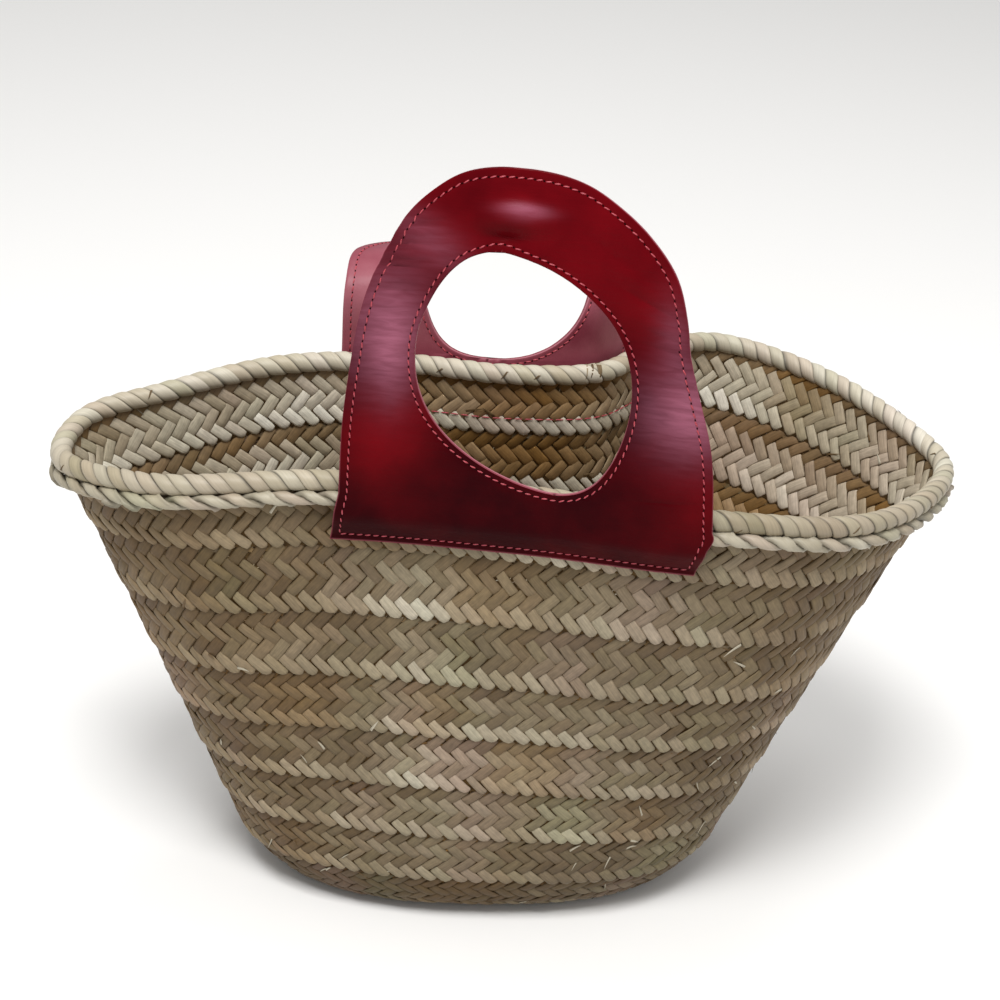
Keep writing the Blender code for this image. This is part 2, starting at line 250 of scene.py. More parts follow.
def onWall(turn, share, lift):
    # points lifted off the wall's middle: turn goes round from 0 to 1, share goes down from 0 to 1 and then
    # over the base
    turn, share = np.broadcast_arrays(turn, share)
    x = (turn % 1) * bag["columns"]
    i = np.floor(x).astype(int) % bag["columns"]
    fx = (x - np.floor(x))[..., None]
    y = np.interp(share, wallShares, np.arange(len(wallShares)))
    j = np.minimum(np.floor(y).astype(int), len(wallShares) - 2)
    fy = (y - j)[..., None]
    k = (i + 1) % bag["columns"]
    mix = lambda grid: ((grid[j, i] * (1 - fx) + grid[j, k] * fx) * (1 - fy)
                        + (grid[j + 1, i] * (1 - fx) + grid[j + 1, k] * fx) * fy)
    return mix(wallGrid) + unit(mix(wallNormal)) * np.asarray(lift)[..., None]


def alongRim(turn, values):
    # a value known in every column, read between the columns
    x = (np.asarray(turn) % 1) * bag["columns"]
    i = np.floor(x).astype(int) % bag["columns"]
    f = (x - np.floor(x))[..., None]
    return values[i] * (1 - f) + values[(i + 1) % bag["columns"]] * f


def roundAt(share):
    # distance gone round the bag in every column at this height, with the full round last
    turn = np.arange(bag["columns"]) / bag["columns"]
    ring = onWall(turn, np.full(len(turn), share), np.zeros(len(turn)))
    ring = np.vstack([ring, ring[:1]])
    return np.append(0, np.cumsum(np.linalg.norm(np.diff(ring, axis=0), axis=1)))


def courseShare(course):
    # how far down the wall a place in the courses lies; the courses grow lower towards the base
    return np.interp(course, np.arange(len(bag["courseEnds"])), bag["courseEnds"])


def courseAt(share):
    # the other way round: the place in the courses at a share of the way down
    return np.interp(share, bag["courseEnds"], np.arange(len(bag["courseEnds"])))


columnTurns = np.linspace(0, 1, bag["columns"] + 1)
lastRow = int(courseAt(wallShares[-1]) * 4)  # the row of leaves that reaches the base's seam

# plaited palm leaf

weave = {
    "pitch": 0.0095,  # from one leaf to the next along a row
    "rowPlaces": (0.115, 0.365, 0.615, 0.865),  # of the four rows in a course, from its top
    "falling": (False, True, False, True),  # whether a row's leaves fall to the right
    "courseShift": 0.31,  # how far a course starts along from the one above, in leaves
    "tuck": 0.0010, "gap": -0.00005, "crown": 0.00115,
    "narrowShare": 0.025, "narrow": 0.8,
    # how much the leaves differ in place, length, width, turn, crown and light, and in lift and tilt
    "spread": {"start": 0.022, "length": 0.03, "width": 0.05, "turn": 0.045, "crown": 0.12, "light": 0.06,
               "lift": 0.00010, "tiltMiddle": 0.00006, "tilt": 0.00014},
    "ledge": 0.0016, "firstLift": 0.0003, "lowerEdge": 1.02,
    "overEdge": 0.15, "edgeDrop": 0.55,  # what is left of a leaf past the lower edge, and how it bends in
    "floorStart": 0.985, "floorLift": 0.62, "floorRaise": 0.0002,
    "lowestOutside": 0.0003, "lowestInside": 0.0012,  # above the floor
    # painted light and shade by row: the ledge row lighter where it catches the light, the rows under a ledge
    # darker, and the inside lighter than the outside
    "rowPaintedLight": {1: (0.12, 0.28, 0.23, 0.50), -1: (0.33, 0.67, 0.69, 0.87)},
    "slowLight": (0.03, 0.05, 0.05, 0.07),
    # painted shade: warm brown in the rows under a ledge, mostly inside
    "rowShadeBrown": {1: (0.12, 0.0, 0.0, 0.0), -1: (0.62, 0.15, 0.0, 0.0)},
    "zones": {"green": 0.75, "pink": 0.45, "brown": 0.35}, "zoneTint": 0.34, "leafTint": 0.12,
    # painted shade: the foot of the wall outside is darker
    "footShade": 0.64, "footShadeFrom": 0.75,  # how much darker the foot of the wall is, and from where
    # painted shade: darker and browner at the ends of the bag outside and deep inside it
    "sideShade": 0.15, "sideShadeBrown": 0.34, "deepShade": 0.10, "deepShadeBrown": 0.55, "deepFrom": 0.24,
    # painted shadow: darker and browner where the front handle's shadow falls on the back inside
    "backShade": 0.12, "backShadowBrown": 0.75, "backMiddle": 0.02, "backWidth": 0.075,
}
leafColours = {
    "shades": ("#574731", "#746750", "#918670", "#aea693", "#cfcabc"),
    "green": "#868a62", "pink": "#a08278", "brown": "#7e5c2e",
}


# from the leaf's middle to its ends and edges: places, and the height there
leafShape = {"along": (0, 0.46, 0.85, 1), "alongHeight": (1, 0.94, 0.52, -0.25),
             "across": (0, 0.70, 1), "acrossHeight": (0, -0.13, -0.72), "underHeight": -0.9}


def modelLeaf():
    # one plaited leaf, 2 long and 2 wide, crowned, with both ends diving under its neighbours
    bpy.ops.object.select_all(action="DESELECT")
    bpy.ops.mesh.primitive_grid_add(x_subdivisions=6, y_subdivisions=4, size=2, location=(0, 0, 0))
    leaf = bpy.context.object
    bpy.ops.object.mode_set(mode="EDIT")
    bpy.ops.mesh.select_all(action="DESELECT")
    bpy.ops.mesh.select_non_manifold()
    bpy.ops.mesh.edge_face_add()  # closes the underside
    bpy.ops.mesh.poke()
    bpy.ops.mesh.select_all(action="SELECT")
    bpy.ops.mesh.normals_make_consistent(inside=False)
    bpy.ops.object.mode_set(mode="OBJECT")
    points, faces = takeShape(leaf)
    x, y = points[:, 0], points[:, 1]
    along = np.interp(abs(x), (0, 1 / 3, 2 / 3, 1), leafShape["along"]) * np.sign(x)
    across = np.interp(abs(y), (0, 0.5, 1), leafShape["across"]) * np.sign(y)
    height = (np.interp(abs(along), leafShape["along"], leafShape["alongHeight"])
              + np.interp(abs(across), leafShape["across"], leafShape["acrossHeight"]))
    height[-1] = leafShape["underHeight"]  # the middle of the underside
    points = np.column_stack([along, across, height])
    # the faces with four corners are the top; all are turned over if these point down
    a, b, c = points[list(next(face for face in faces if len(face) == 4))[:3]]
    return points, faces if np.cross(b - a, c - a)[2] > 0 else [face[::-1] for face in faces]


leafPoints, leafFaces = modelLeaf()
print("leaf modelled", len(leafPoints), "points")


def shadeOf(light, tints):
    # linear colours for many leaves from how light they are and how far each is tinted
    shades = np.array([linear(shade) for shade in leafColours["shades"]])
    light = np.clip(light, 0, 1) * (len(shades) - 1)
    i = np.minimum(light.astype(int), len(shades) - 2)
    f = (light - i)[:, None]
    colour = shades[i] * (1 - f) + shades[i + 1] * f
    for name, amount in tints.items():
        amount = np.clip(amount, 0, 1)[:, None]
        tinted = np.array(linear(leafColours[name])) * amount * (0.5 + light[:, None] / 4)
        colour = colour * (1 - amount) + tinted
    colour[:, 3] = 1
    return colour


def slowWave(place, pick, tones=(2, 3, 5, 8, 13)):
    # soft change round the bag, mostly between -1 and 1
    return sum(np.sin(2 * math.pi * (place * k + pick.random())) for k in tones) / len(tones) ** 0.5


def layRow(side, course, row, pick):
    # one row of leaves round the bag; side is 1 outside and -1 inside
    spread = weave["spread"]
    courseHeight = wallLength * (courseShare(course + 1) - courseShare(course))
    rowHeight = courseHeight / 4
    place = weave["rowPlaces"][row]
    share = courseShare(course + place)
    length = roundAt(share)
    count = int(round(roundAt(courseShare(course + 0.5))[-1] / weave["pitch"]))
    pitch = length[-1] / count
    falling = weave["falling"][row]
    start = (np.arange(count) + (0.5 if falling else 0.0) + weave["courseShift"] * course) * pitch
    start = start + pick.normal(0, spread["start"], count) * pitch
    width = weave["pitch"] / math.sqrt(2)
    halfLong = (width * (1 + pick.normal(0, spread["length"], count)) + weave["tuck"])[:, None]
    narrow = np.where(pick.random(count) < weave["narrowShare"], weave["narrow"], 1.0)
    halfWide = (width / 2 * (1 + pick.normal(0, spread["width"], count)) * narrow - weave["gap"])[:, None]
    angle = (math.radians(-45 if falling else 45) + pick.normal(0, spread["turn"], count))[:, None]
    x, y, z = leafPoints.T
    right = (x * halfLong * np.cos(angle) - y * halfWide * np.sin(angle)) * pitch / weave["pitch"]
    upward = (x * halfLong * np.sin(angle) + y * halfWide * np.cos(angle)) * rowHeight / weave["pitch"]

    # each course stands out more towards its lower edge, which laps over the next one
    inCourse = place - upward / courseHeight
    beyond = np.maximum(inCourse - weave["lowerEdge"], 0)
    inCourse = np.minimum(inCourse, weave["lowerEdge"] + beyond * weave["overEdge"])
    lift = weave["firstLift"] + weave["ledge"] * np.clip(inCourse, 0, 1) ** 1.5
    lift = lift - beyond * courseHeight * weave["edgeDrop"]
    lift = lift + weave["crown"] * z * (1 + pick.normal(0, spread["crown"], count)[:, None])
    lift = lift + (pick.normal(0, spread["lift"], count)[:, None]
                   + y * pick.normal(spread["tiltMiddle"], spread["tilt"], count)[:, None])
    shares = courseShare(course + inCourse)
    turns = np.interp((start[:, None] + side * right) % length[-1], length, columnTurns)
    floorLift = lift * weave["floorLift"] + weave["floorRaise"] * (1 - side)
    points = onWall(turns, shares, side * np.where(shares > weave["floorStart"], floorLift, lift))
    lowest = weave["lowestOutside"] + 0.0002 * (1 - z) if side > 0 else weave["lowestInside"]
    points[..., 2] = np.maximum(points[..., 2], lowest)

    # light and tints change slowly round the bag, in the same stretches for all rows of a course
    zone = np.random.default_rng(1000 * (side + 2) + course)
    part = start / length[-1]
    # painted shade at the foot of the wall outside
    foot = np.clip((share - weave["footShadeFrom"]) * 4, 0, 1) * (side > 0)
    # painted light and shade: each row starts from its own lightness, lit ledge rows lighter and rows under a
    # ledge darker
    light = weave["rowPaintedLight"][side][row] + weave["slowLight"][row] * 1.6 * slowWave(part, zone)
    light = light + pick.normal(0, spread["light"], count) - weave["footShade"] * foot
    light = light + weave["slowLight"][row] * slowWave(part, pick)
    # painted shade: the ends of the bag are darker and browner outside, and so is the wall inside from about
    # a quarter of the way down
    atEnds = np.clip((abs(points[:, 0, 0] - bag["rimShift"]) - 0.07) / 0.12, 0, 1) * (side > 0)
    deep = np.clip((share - weave["deepFrom"]) * 9, 0, 1) * (side < 0)
    light = light - weave["sideShade"] * atEnds - weave["deepShade"] * deep
    tints = {name: weave["zoneTint"] * np.clip(slowWave(part, zone) - least, 0, 1)
             + weave["leafTint"] * pick.random(count) ** 2 for name, least in weave["zones"].items()}
    # painted shade: warm brown in the rows under a ledge
    brown = weave["rowShadeBrown"][side][row] * (0.7 + 0.3 * slowWave(part, zone))
    tints["brown"] = tints["brown"] + brown
    tints["brown"] = tints["brown"] + weave["sideShadeBrown"] * atEnds + weave["deepShadeBrown"] * deep
    # painted shadow: a darker, warmer stretch in the middle of the back inside, where the front handle's
    # shadow falls; the ledge rows stay pale
    fromBack = (points[:, 0, 0] - weave["backMiddle"]) / weave["backWidth"]
    atBack = np.exp(-fromBack ** 2) * (points[:, 0, 1] > 0) * (side < 0)
    light = light - weave["backShade"] * atBack * (row < 3)
    tints["brown"] = tints["brown"] + weave["backShadowBrown"] * atBack * (0.15 if row == 3 else 1.0)
    uv = np.stack([x * halfLong + pick.random(count)[:, None],
                   y * halfWide + pick.random(count)[:, None]], axis=-1)
    return points, shadeOf(light, tints), uv


def layLeaves(name, side, courses, seed, material):
    # all the leaves of some courses on one side, as one piece
    pick = np.random.default_rng(seed)
    points, colours, uvs = [], [], []
    for course in courses:
        for row in range(4):
            if course * 4 + row > lastRow:
                continue
            rowPoints, colour, uv = layRow(side, course, row, pick)
            points.append(rowPoints.reshape(-1, 3))
            uvs.append(uv.reshape(-1, 2))
            colours.append(np.repeat(colour, len(leafPoints), axis=0))
    points = np.vstack(points)
    faces = repeatFaces(leafFaces, len(leafPoints), len(points) // len(leafPoints))
    makePiece(name, points, faces, material, ["straw_body"], uv=np.vstack(uvs),
              colours=np.vstack(colours))


def leafFinish(name, settings, rib, blotched):
    # what both kinds of leaf share: each leaf's own colour, and ribs that darken it and stand up
    material = newFinish(name, settings)
    ownColour = addNode(material, "Attribute", {"attribute_name": "leafColour"})
    leafMap = addNode(material, "UVMap", {"uv_map": "leafUV"})
    ribNoise = drawnNoise(material, leafMap, rib["scale"], {"Detail": 3.0, "Roughness": rib["broken"]})
    tone = addNode(material, "MapRange", {1: 0.3, 2: 0.7, 3: rib["dark"], 4: rib["light"]}, {0: ribNoise})
    if blotched:
        # blotches of weathering, about 4 mm
        blotch = drawnNoise(material, leafMap, (260, 260, 1), {"Detail": 2.0})
        blotchTone = addNode(material, "MapRange", {1: 0.35, 2: 0.65, 3: 0.90, 4: 1.07}, {0: blotch})
        tone = addNode(material, "Math", {"operation": "MULTIPLY"}, {0: tone, 1: blotchTone})
    leafTone = addNode(material, "VectorMath", {"operation": "SCALE"},
                       {0: ownColour.outputs["Color"], "Scale": tone})
    bump = addNode(material, "Bump", {"Strength": rib["bump"], "Distance": 0.0003}, {"Height": ribNoise})
    join(material, leafTone, "Base Color")
    join(material, bump, "Normal")
    return material


# palm leaf: dried and split, matt with a faint waxy sheen; ribs about 0.8 mm apart and 12 mm long
plaitedPalmLeaf = leafFinish(
    "plaitedPalmLeaf", {"Roughness": 0.62, "Specular IOR Level": 0.32, "IOR": 1.45},
    {"scale": (85, 1250, 1), "broken": 0.6, "dark": 0.80, "light": 1.16, "bump": 0.35}, True)

upperCourses, lowerCourses = range(0, 5), range(5, 11)
layLeaves("weave_outside_upper", 1, upperCourses, 11, plaitedPalmLeaf)
layLeaves("weave_outside_lower", 1, lowerCourses, 12, plaitedPalmLeaf)
layLeaves("weave_inside_upper", -1, upperCourses, 13, plaitedPalmLeaf)
layLeaves("weave_inside_lower", -1, lowerCourses, 14, plaitedPalmLeaf)

shell = {"columns": 240, "half": 0.00025, "floorHalf": 0.0005, "top": 0.006, "first": 0.012, "foot": 0.985,
         "steps": (0.0, 0.24, 0.48, 0.72, 0.96), "shift": 0.02}

# painted shade: the dim, shaded side of the leaves, seen only through the gaps of the plait
gapShadeLeaf = newFinish("gapShadeLeaf", {"Roughness": 0.9, "Specular IOR Level": 0.1})
gapPlace = addNode(gapShadeLeaf, "TexCoord")
gapNoise = addNode(gapShadeLeaf, "TexNoise", {"Scale": 240.0, "Detail": 2.0},
                   {"Vector": gapPlace.outputs["Object"]})
gapTone = addNode(gapShadeLeaf, "ValToRGB", {"stops": ((0.35, "#342512"), (0.7, "#513d22"))}, {0: gapNoise})
join(gapShadeLeaf, gapTone, "Base Color")


def makeShell():
    # thin stepped core of the wall, closed over the base
    turns = np.arange(shell["columns"]) / shell["columns"]
    rings = []
    for side in (1, -1):
        skin = [(shell["top"], 0.0)]
        for course in range(bag["courseEnds"].index(1.0)):
            for place in shell["steps"]:
                share = max(courseShare(course + place + shell["shift"]), shell["first"])
                skin.append((share, weave["ledge"] * place ** 1.5))
        skin[-1] = (shell["foot"], 0.0)
        rows = [onWall(turns, np.full(len(turns), share), np.full(len(turns), side * (lift + shell["half"])))
                for share, lift in skin]
        floor = onWall(turns, np.full(len(turns), 1.0), np.full(len(turns), side * shell["floorHalf"]))
        rows.append(floor)
        rings += rows if side > 0 else rows[::-1]
    count, size = len(rings), shell["columns"]
    points = np.concatenate(rings)
    faces = []
    for ring in range(count):
        if ring == count // 2 - 1:
            continue  # the base: two flat faces instead
        following = (ring + 1) % count
        for i in range(size):
            j = (i + 1) % size
            faces.append((ring * size + i, following * size + i, following * size + j, ring * size + j))
    outerFloor = (count // 2 - 1) * size
    faces.append(tuple(outerFloor + i for i in reversed(range(size))))
    faces.append(tuple(outerFloor + size + i for i in range(size)))
    makePiece("wall_core", points, faces, gapShadeLeaf, ["straw_body"])


makeShell()

# rim roll wrapped in broad leaf

# painted shade on the front of the roll and in its seams, painted light at its right end
roll = {"radius": 0.0056, "wrap": 0.0098, "starts": 2, "around": 20, "slant": 0.06, "shift": 0.07,
        "swell": 0.28, "light": 0.80, "frontShade": 0.14, "endLight": 0.14, "lightSpread": 0.055,
        "tint": 0.20, "leafApart": (0.013, 0.037), "seams": (0, 0.05, 0.85, 1),
        "seamShade": (0.22, 1, 1, 0.60),
        "profile": ((0.0, -0.85), (0.03, -0.10), (0.09, 0.36), (0.22, 0.62), (0.40, 0.60), (0.58, 0.44),
                    (0.75, 0.22), (0.90, -0.04), (0.97, -0.25))}  # place in a wrap, height in mm


def sweepFrames(turn, fall, lift):
    # places along the rim, lowered and moved out, with the directions out of the bag and up the wall
    centre = alongRim(turn, rimTop) + alongRim(turn, rimDown) * fall + alongRim(turn, rimOut) * lift
    return centre, unit(alongRim(turn, rimOut)), -unit(alongRim(turn, rimDown))


def roundRim(frames, radius, angle):
    # points at an angle round the middle of the roll or the cord, from outside over the top
    centre, outward, upward = frames
    return centre + radius * (np.cos(angle)[..., None] * outward + np.sin(angle)[..., None] * upward)


def makeRoll(material):
    pick = np.random.default_rng(21)
    wraps = int(round(rimRound / roll["wrap"]))
    inWrap, around = len(roll["profile"]), roll["around"]
    i, j = np.meshgrid(np.arange(wraps * inWrap), np.arange(around), indexing="ij")
    wrap, step = i // inWrap, i % inWrap
    place = np.array([row[0] for row in roll["profile"]])[step]
    height = np.array([row[1] for row in roll["profile"]])[step] / 1000
    shift, swell = pick.normal(0, roll["shift"], wraps), 1 + pick.normal(0, roll["swell"], wraps)
    part = j / around
    slant = part - roll["slant"] * np.sin(2 * math.pi * part)  # the seams lean most on the outside
    shift = shift[wrap] * (1 - part) + shift[wrap - roll["starts"]] * part
    swell = swell[wrap] * (1 - part) + swell[wrap - roll["starts"]] * part
    turn = (wrap + place - roll["starts"] * slant + shift) / wraps
    angle = -math.pi / 2 + 2 * math.pi * part
    points = roundRim(sweepFrames(turn, 0.0, 0.0), (roll["radius"] + height * swell)[..., None], angle)
    gone = roll["starts"] * inWrap  # how far the leaf has moved on after one round of the roll
    index = lambda i, j: ((i - gone * (j // around)) % (wraps * inWrap)) * around + j % around
    uv = np.stack([angle * roll["radius"] + wrap * roll["leafApart"][0],
                   place * roll["wrap"] + wrap * roll["leafApart"][1]], axis=-1)
    # painted shade on the front of the roll, deepest towards the right, and painted light at its right end
    along, deep, _ = rimAt(np.arange(wraps) * rimRound / wraps).T
    toFront = np.clip(0.3 - deep / 0.08, 0, 1)
    light = roll["light"] - roll["frontShade"] * toFront * (1 + 0.8 * np.clip(along / 0.1, 0, 1))
    light = light + roll["endLight"] * np.clip((along - 0.19) / 0.05, 0, 1)
    light = light + pick.normal(0, roll["lightSpread"], wraps)
    tints = {name: roll["tint"] * pick.random(wraps) ** 2 for name in ("green", "pink", "brown")}
    colours = shadeOf(light, tints)[wrap]
    # painted shade in the grooves where the wraps meet
    colours = colours * np.interp(place, roll["seams"], roll["seamShade"])[..., None]
    colours[..., 3] = 1
    makePiece("rim_roll_wrapping", points.reshape(-1, 3), gridFaces(index, i, j), material,
              ["rim_binding"], uv=uv.reshape(-1, 2), colours=colours.reshape(-1, 4))


# palm leaf again, but the pale young heart leaf: smoother, creamier and a little shiny; ribs about 1 mm apart
paleHeartLeaf = leafFinish(
    "paleHeartLeaf", {"Roughness": 0.5, "Specular IOR Level": 0.4, "IOR": 1.45},
    {"scale": (60, 900, 1), "broken": 0.55, "dark": 0.88, "light": 1.06, "bump": 0.25}, False)
makeRoll(paleHeartLeaf)

# cord of two twisted strands, sewn on under the roll

cord = {"fall": 0.0082, "lift": 0.0056, "turnLength": 0.029, "strandOut": 0.0019,
        "thick": 0.0021, "wide": 0.0029, "light": 0.70, "wander": 0.45, "lump": 0.22, "ragged": 1.1,
        "rings": 900, "around": 12, "lightSpread": 0.05, "tint": 0.25, "stretches": 90,
        "places": (-1, 0.1, 1), "placeShade": (0.5, 0.88, 1.0)}  # from deep in the twist to the outside


def makeStrand(name, phase, seed, material):
    # one of the two strands, flat in section, with its ragged edge loosest at the ends of the bag
    pick = np.random.default_rng(seed)
    twists = int(round(rimRound / cord["turnLength"]))
    i, j = np.meshgrid(np.arange(cord["rings"]), np.arange(cord["around"]), indexing="ij")
    turn = i / cord["rings"]
    wander = sum(np.sin(2 * math.pi * turn * k + pick.random() * 6.28) / 3 for k in (7, 13, 29))
    twist = -2 * math.pi * twists * turn + phase + cord["wander"] * wander
    atEnds = np.clip((abs(rimAt(turn * rimRound)[..., 0]) - 0.09) / 0.08, 0, 1)
    centre, outward, upward = sweepFrames(turn, cord["fall"], cord["lift"])
    radial = np.cos(twist)[..., None] * outward + np.sin(twist)[..., None] * upward
    tangent = -np.sin(twist)[..., None] * outward + np.cos(twist)[..., None] * upward
    angle = 2 * math.pi * j / cord["around"]
    lump = 1 + cord["lump"] * np.maximum(np.sin(twist), 0) ** 3 + pick.normal(0, 0.04, cord["rings"])[:, None]
    ragged = np.repeat(pick.random(cord["rings"] // 5), 5)[:, None] ** 4 * np.maximum(np.sin(angle), 0) ** 6
    thick = (cord["thick"] * lump * np.cos(angle) + cord["strandOut"])[..., None]
    wide = (cord["wide"] * (lump + (0.35 + cord["ragged"] * atEnds) * ragged) * np.sin(angle))[..., None]
    points = centre + radial * thick + tangent * wide
    index = lambda i, j: (i % cord["rings"]) * cord["around"] + j % cord["around"]
    uv = np.stack([turn * rimRound + seed * 0.1, angle * 0.0025], axis=-1)
    rings, stretches = np.arange(cord["rings"]), np.linspace(0, cord["rings"], cord["stretches"])
    light = cord["light"] + pick.normal(0, cord["lightSpread"], cord["stretches"])
    tints = {name: cord["tint"] * np.clip(slowWave(rings / cord["rings"], pick, (5, 9, 21)), 0, 1)
             for name in ("green", "pink")}
    colours = shadeOf(np.interp(rings, stretches, light), tints)
    colours = np.repeat(colours[:, None], cord["around"], axis=1)
    # painted shade on the side of each strand that lies deep in the twist
    colours = colours * np.interp(np.cos(angle), cord["places"], cord["placeShade"])[..., None]
    colours[..., 3] = 1
    makePiece(name, points.reshape(-1, 3), gridFaces(index, i, j), material, ["rim_cord"],
              uv=uv.reshape(-1, 2), colours=colours.reshape(-1, 4))


makeStrand("cord_strand_one", 0.0, 31, paleHeartLeaf)
makeStrand("cord_strand_two", math.pi, 32, paleHeartLeaf)

# leather handles

leather = {"width": 0.204, "standing": 0.186, "holeWidth": 0.115, "holeHeight": 0.131, "holeAboveEdge": 0.044,
           "thick": 0.0015, "seatGap": 0.0003, "leatherGap": 0.0008, "creased": 1.6, "ledge": 0.0012,
           "ramp": 0.019, "soft": 0.0010, "softDrop": 0.0005, "seamDip": 0.00028, "seamWide": 0.0013,
           "cordRadius": 0.0039, "cordApart": 0.0102, "cordOut": 0.0057, "cordSeat": 0.0042,
           # rows over the sewn part, over the hole and over the arch, and columns in a limb
           "liningGrid": (20, 60, 30, 20), "panelGrid": (36, 110, 50, 34), "crowded": 0.75}
cordFall = math.sqrt(leather["cordApart"] ** 2 - leather["cordOut"] ** 2)
cordLift = bag["wall"] / 2 + leather["ledge"] * courseAt(cordFall / wallLength) + leather["cordSeat"]
frontHandle = {
    "name": "front", "side": -1, "place": 0.0088, "sewn": 0.0335, "skew": 0.017, "taper": 1.1,
    "outline": ((-1.0, -1.10, 0.955), (-0.4, -1.055, 0.96), (0.0, -1.02, 0.96), (0.25, -1.01, 0.91),
                (0.42, -0.98, 0.82), (0.51, -0.96, 0.77), (0.63, -0.91, 0.73), (0.75, -0.82, 0.66),
                (0.86, -0.71, 0.50), (0.93, -0.58, 0.33), (0.975, -0.45, 0.165), (1.0, -0.20, -0.14)),
    "lean": ((0.0, 4), (0.12, -3), (0.5, -4), (0.8, -8), (1.0, -14)),
    # soft bumps, and creases: across, rise, length and breadth in mm, turn in degrees, height in mm
    "relief": ((-0.17, 0.865, 14, 7, 0, 4.2), (-0.22, 0.805, 12, 5, 0, -3.4), (0.60, 0.55, 30, 20, 0, -3.0),
               (-0.62, 0.20, 16, 9, 70, 0.8)),
    "creases": ((-0.62, 0.845, 8, 1.5, 10, 0.35), (-0.66, 0.80, 9, 1.6, 8, 0.45),
                (-0.70, 0.765, 10, 1.4, 4, -0.40), (-0.72, 0.735, 11, 1.5, 2, 0.45),
                (-0.75, 0.70, 10, 1.4, -2, -0.40), (-0.77, 0.665, 10, 1.6, -3, 0.40),
                (-0.78, 0.63, 9, 1.5, -6, -0.35), (-0.80, 0.59, 8, 1.6, -8, 0.30),
                (0.30, 0.80, 14, 2.0, -38, -0.50), (0.42, 0.74, 15, 2.2, -32, 0.45),
                (0.52, 0.67, 15, 2.0, -24, -0.50), (0.60, 0.60, 14, 2.2, -16, 0.45),
                (0.66, 0.53, 13, 2.0, -10, -0.45), (0.72, 0.46, 12, 2.2, -4, 0.35),
                (0.70, 0.08, 13, 1.2, 4, -0.28), (0.34, 0.86, 12, 2.0, -44, 0.3)),
    # painted highlight, a mauve sheen: across, rise, length and breadth in mm, turn in degrees, amount
    "rubbed": ((-0.80, 0.52, 20, 30, 0, 0.60), (-0.76, 0.42, 9, 22, 0, 0.30),
               (-0.60, 0.78, 24, 10, -35, 0.25), (0.80, 0.36, 22, 22, 0, 0.72),
               (0.68, 0.58, 9, 20, 10, 0.25), (-0.13, 0.885, 11, 3.0, 0, 0.55)),
    # the same for where the dye is clear red instead of near black
    "reddened": ((0.0, 0.85, 110, 70, 0, 0.50), (-0.80, 0.20, 30, 32, 0, 0.50), (0.85, 0.10, 26, 34, 0, 0.42),
                 (-0.30, -0.35, 34, 12, 0, 0.22), (0.62, 0.66, 22, 30, -30, 0.22)),
}
backHandle = {
    "name": "back", "side": 1, "place": 0.0107, "sewn": 0.041, "skew": -0.012, "taper": 0.7,
    "outline": ((-1.0, -1.04, 0.97), (-0.4, -1.04, 0.965), (0.0, -1.04, 0.96), (0.25, -1.03, 0.95),
                (0.42, -0.97, 0.91), (0.51, -0.86, 0.86), (0.63, -0.75, 0.79), (0.75, -0.65, 0.69),
                (0.86, -0.53, 0.55), (0.93, -0.39, 0.41), (0.975, -0.25, 0.27), (1.0, 0.0, 0.04)),
    "lean": ((0.0, 4), (0.10, -2), (0.17, 6), (0.29, 58), (0.40, 88), (1.0, 92)),
    "relief": (),
    "creases": ((-0.78, 0.22, 14, 2.0, 6, 0.5), (-0.80, 0.27, 14, 2.0, 4, -0.5),
               (0.76, 0.24, 14, 2.0, -6, 0.5), (0.78, 0.30, 13, 2.2, -8, -0.4)),
    "rubbed": ((-0.75, 0.25, 16, 12, 0, 0.6), (0.72, 0.25, 16, 12, 0, 0.6), (0.0, 0.95, 40, 8, 0, 0.3)),
    "reddened": ((-0.6, 0.5, 40, 30, 0, 0.5), (0.6, 0.5, 40, 30, 0, 0.5), (0.0, -0.4, 60, 20, 0, 0.4)),
}


def patches(rows, across, along):
    # sum of soft oval patches on the leather
    total = np.zeros(np.broadcast(across, along).shape)
    for place, rise, long, broad, turned, height in rows:
        dx = (across - place * leather["width"] / 2) * 1000
        dy = (along - rise * leather["standing"]) * 1000
        c, s = math.cos(math.radians(turned)), math.sin(math.radians(turned))
        total += height * np.exp(-((dx * c + dy * s) / long) ** 2 - ((dy * c - dx * s) / broad) ** 2)
    return total


def middleOf(side):
    # distance along the rim at which it crosses X = 0 on that side
    x, y = rimLoop[:-1, 0] * side, rimLoop[:-1, 1] * side
    before = np.flatnonzero((x > 0) & (np.roll(x, -1) <= 0) & (y > 0))[0]
    share = x[before] / (x[before] - x[(before + 1) % len(x)])
    return rimDistance[before] + share * (rimDistance[before + 1] - rimDistance[before])


